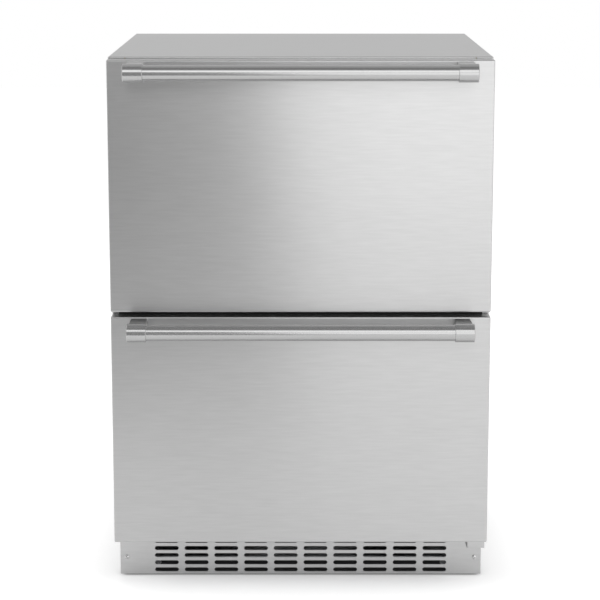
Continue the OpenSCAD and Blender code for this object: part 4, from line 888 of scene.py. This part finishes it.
# painted shade: the floor's colour is dark inside the footprint and pale outside it
tone = floor_tree.nodes.new("ShaderNodeCombineColor")
for channel in tone.inputs:
    floor_tree.links.new(eased(away, PAINTED_SHADE_REACH, FLOOR_PAINTED_SHADE, FLOOR_TONE), channel)
floor_tree.links.new(tone.outputs[0], floor_shader.inputs["Base Color"])
path = floor_tree.nodes.new("ShaderNodeLightPath")
mirrored = math_node(floor_tree, "MAXIMUM", path.outputs["Is Glossy Ray"],
                     path.outputs["Is Transmission Ray"])
# painted shadow: the glow that makes the floor white is taken away close to the footprint
near = math_node(floor_tree, "ADD", eased(away, PAINTED_SHADOW_EDGE, 0.0, PAINTED_SHADOW_EDGE_SHARE),
                 eased(away, PAINTED_SHADOW_REACH, 0.0, 1 - PAINTED_SHADOW_EDGE_SHARE))
seen = math_node(floor_tree, "MULTIPLY", path.outputs["Is Camera Ray"], FLOOR_LIFT_SEEN)
seen = math_node(floor_tree, "MULTIPLY", seen, near)
far = eased(away, MIRRORED_PAINTED_SHADOW_REACH, FLOOR_LIFT_MIRRORED / 2, FLOOR_LIFT_MIRRORED)
mirrored = math_node(floor_tree, "MULTIPLY", mirrored, far)
glow = floor_tree.nodes.new("ShaderNodeEmission")
floor_tree.links.new(math_node(floor_tree, "ADD", seen, mirrored), glow.inputs["Strength"])
both = floor_tree.nodes.new("ShaderNodeAddShader")
floor_tree.links.new(floor_shader.outputs[0], both.inputs[0])
floor_tree.links.new(glow.outputs[0], both.inputs[1])
floor_tree.links.new(both.outputs[0], floor_tree.nodes["Material Output"].inputs["Surface"])
stage_card("floor", [(-FLOOR_HALF, -FLOOR_HALF, 0), (FLOOR_HALF, -FLOOR_HALF, 0),
                     (FLOOR_HALF, FLOOR_HALF, 0), (-FLOOR_HALF, FLOOR_HALF, 0)], floor_paint)

ROOM_LIGHT = 0.72
world = bpy.data.worlds.new("white_room")
bpy.context.scene.world = world
world.use_nodes = True
room_tree = world.node_tree
room = room_tree.nodes["Background"]
room.inputs["Color"].default_value = (1, 1, 1, 1)
room_tree.links.new(map_range(room_tree, seen_directly(room_tree), ROOM_LIGHT, 1.0),
                    room.inputs["Strength"])
print("floor and room ready")


# %% Cards that only reflections show
def reflection_card(name, corners, brightness):
    """A card of one brightness, seen in reflections and by nothing else."""
    material = bpy.data.materials.new(name + "_paint")
    material.use_nodes = True
    tree = material.node_tree
    tree.nodes.remove(tree.nodes["Principled BSDF"])
    lamp = tree.nodes.new("ShaderNodeEmission")
    lamp.inputs["Strength"].default_value = brightness
    tree.links.new(lamp.outputs[0], tree.nodes["Material Output"].inputs["Surface"])
    card = stage_card(name, corners, material)
    card.visible_camera = False
    card.visible_diffuse = False
    card.visible_transmission = False
    card.visible_volume_scatter = False
    card.visible_shadow = False
    return card


def upright(x, y, z):
    """The corners of a standing card."""
    return [(x[0], y, z[0]), (x[1], y, z[0]), (x[1], y, z[1]), (x[0], y, z[1])]


CARD_Y = -1.75
CARD_HALF = 2.2
CARD_TOP = 1.25
BRIGHT_Z = (0.36, 1.05)
DARK_SIDE = -0.36
SPLIT_X = 0.02
SPLIT_LEAN = 0.13
STRIP_HALF = 0.8
STRIP_Z = (1.33, 2.05)
BACK_Y = 2.2
HEADER_SPLIT = -0.3
HEADER_Z = (2.3, 2.6, 3.2)
BACK_Z = (0.4, HEADER_Z[2])


def split_x(z):
    """The line where grey meets bright, which leans a little to the left going up."""
    return SPLIT_X - SPLIT_LEAN * z


def split_card(name, outer_x, z, brightness):
    """A card in front that ends at the leaning line on its other side."""
    reflection_card(name, [(outer_x, CARD_Y, z[0]), (split_x(z[0]), CARD_Y, z[0]),
                           (split_x(z[1]), CARD_Y, z[1]), (outer_x, CARD_Y, z[1])], brightness)


def header_card(name, y, z, brightness):
    """A leaning card overhead, from one depth and height to the next."""
    reflection_card(name, [(-CARD_HALF, y[0], z[0]), (CARD_HALF, y[0], z[0]),
                           (CARD_HALF, y[1], z[1]), (-CARD_HALF, y[1], z[1])], brightness)


reflection_card("dark_card", upright((-CARD_HALF, DARK_SIDE), CARD_Y, (0.0, CARD_TOP)),
                brightness=0.34)
split_card("grey_card", DARK_SIDE, (0.0, CARD_TOP), brightness=0.44)
split_card("bright_card", CARD_HALF, BRIGHT_Z, brightness=1.50)
split_card("upper_bright_card", CARD_HALF, (BRIGHT_Z[1], STRIP_Z[0]), brightness=1.22)
reflection_card("strip_card", upright((-STRIP_HALF, STRIP_HALF), CARD_Y, STRIP_Z),
                brightness=1.70)
header_card("front_header", (CARD_Y, HEADER_SPLIT), HEADER_Z[:2], brightness=0.34)
header_card("rear_header", (HEADER_SPLIT, BACK_Y), HEADER_Z[1:], brightness=0.60)
reflection_card("back_card", upright((-CARD_HALF, CARD_HALF), BACK_Y, BACK_Z),
                brightness=0.70)
print("cards ready")


# %% Lamps
MIDDLE = (0, 0, 0.5)


def softbox(name, place, size, watts):
    """A soft area lamp, turned to face the object's middle. Steel shows the cards and not
    the lamps, which would burn out on the top panel."""
    data = bpy.data.lights.new(name, "AREA")
    data.shape = "RECTANGLE"
    data.size, data.size_y = size
    data.energy = watts
    lamp = bpy.data.objects.new(name, data)
    lamp.location = place
    direction = np.subtract(MIDDLE, place)
    pitch = math.atan2(math.hypot(direction[0], direction[1]), -direction[2])
    heading = math.atan2(direction[1], direction[0]) - math.pi / 2
    lamp.rotation_euler = (pitch, 0, heading)
    lamp.visible_camera = False
    lamp.visible_glossy = False
    bpy.context.collection.objects.link(lamp)
    return lamp


softbox("key_softbox", (1.9, -2.3, 2.1), size=(1.4, 1.4), watts=25)
softbox("fill_softbox", (-2.2, -1.8, 1.8), size=(1.6, 1.6), watts=18)
softbox("rear_softbox", (-0.5, 2.8, 2.2), size=(1.8, 1.2), watts=20)
print("lamps ready")
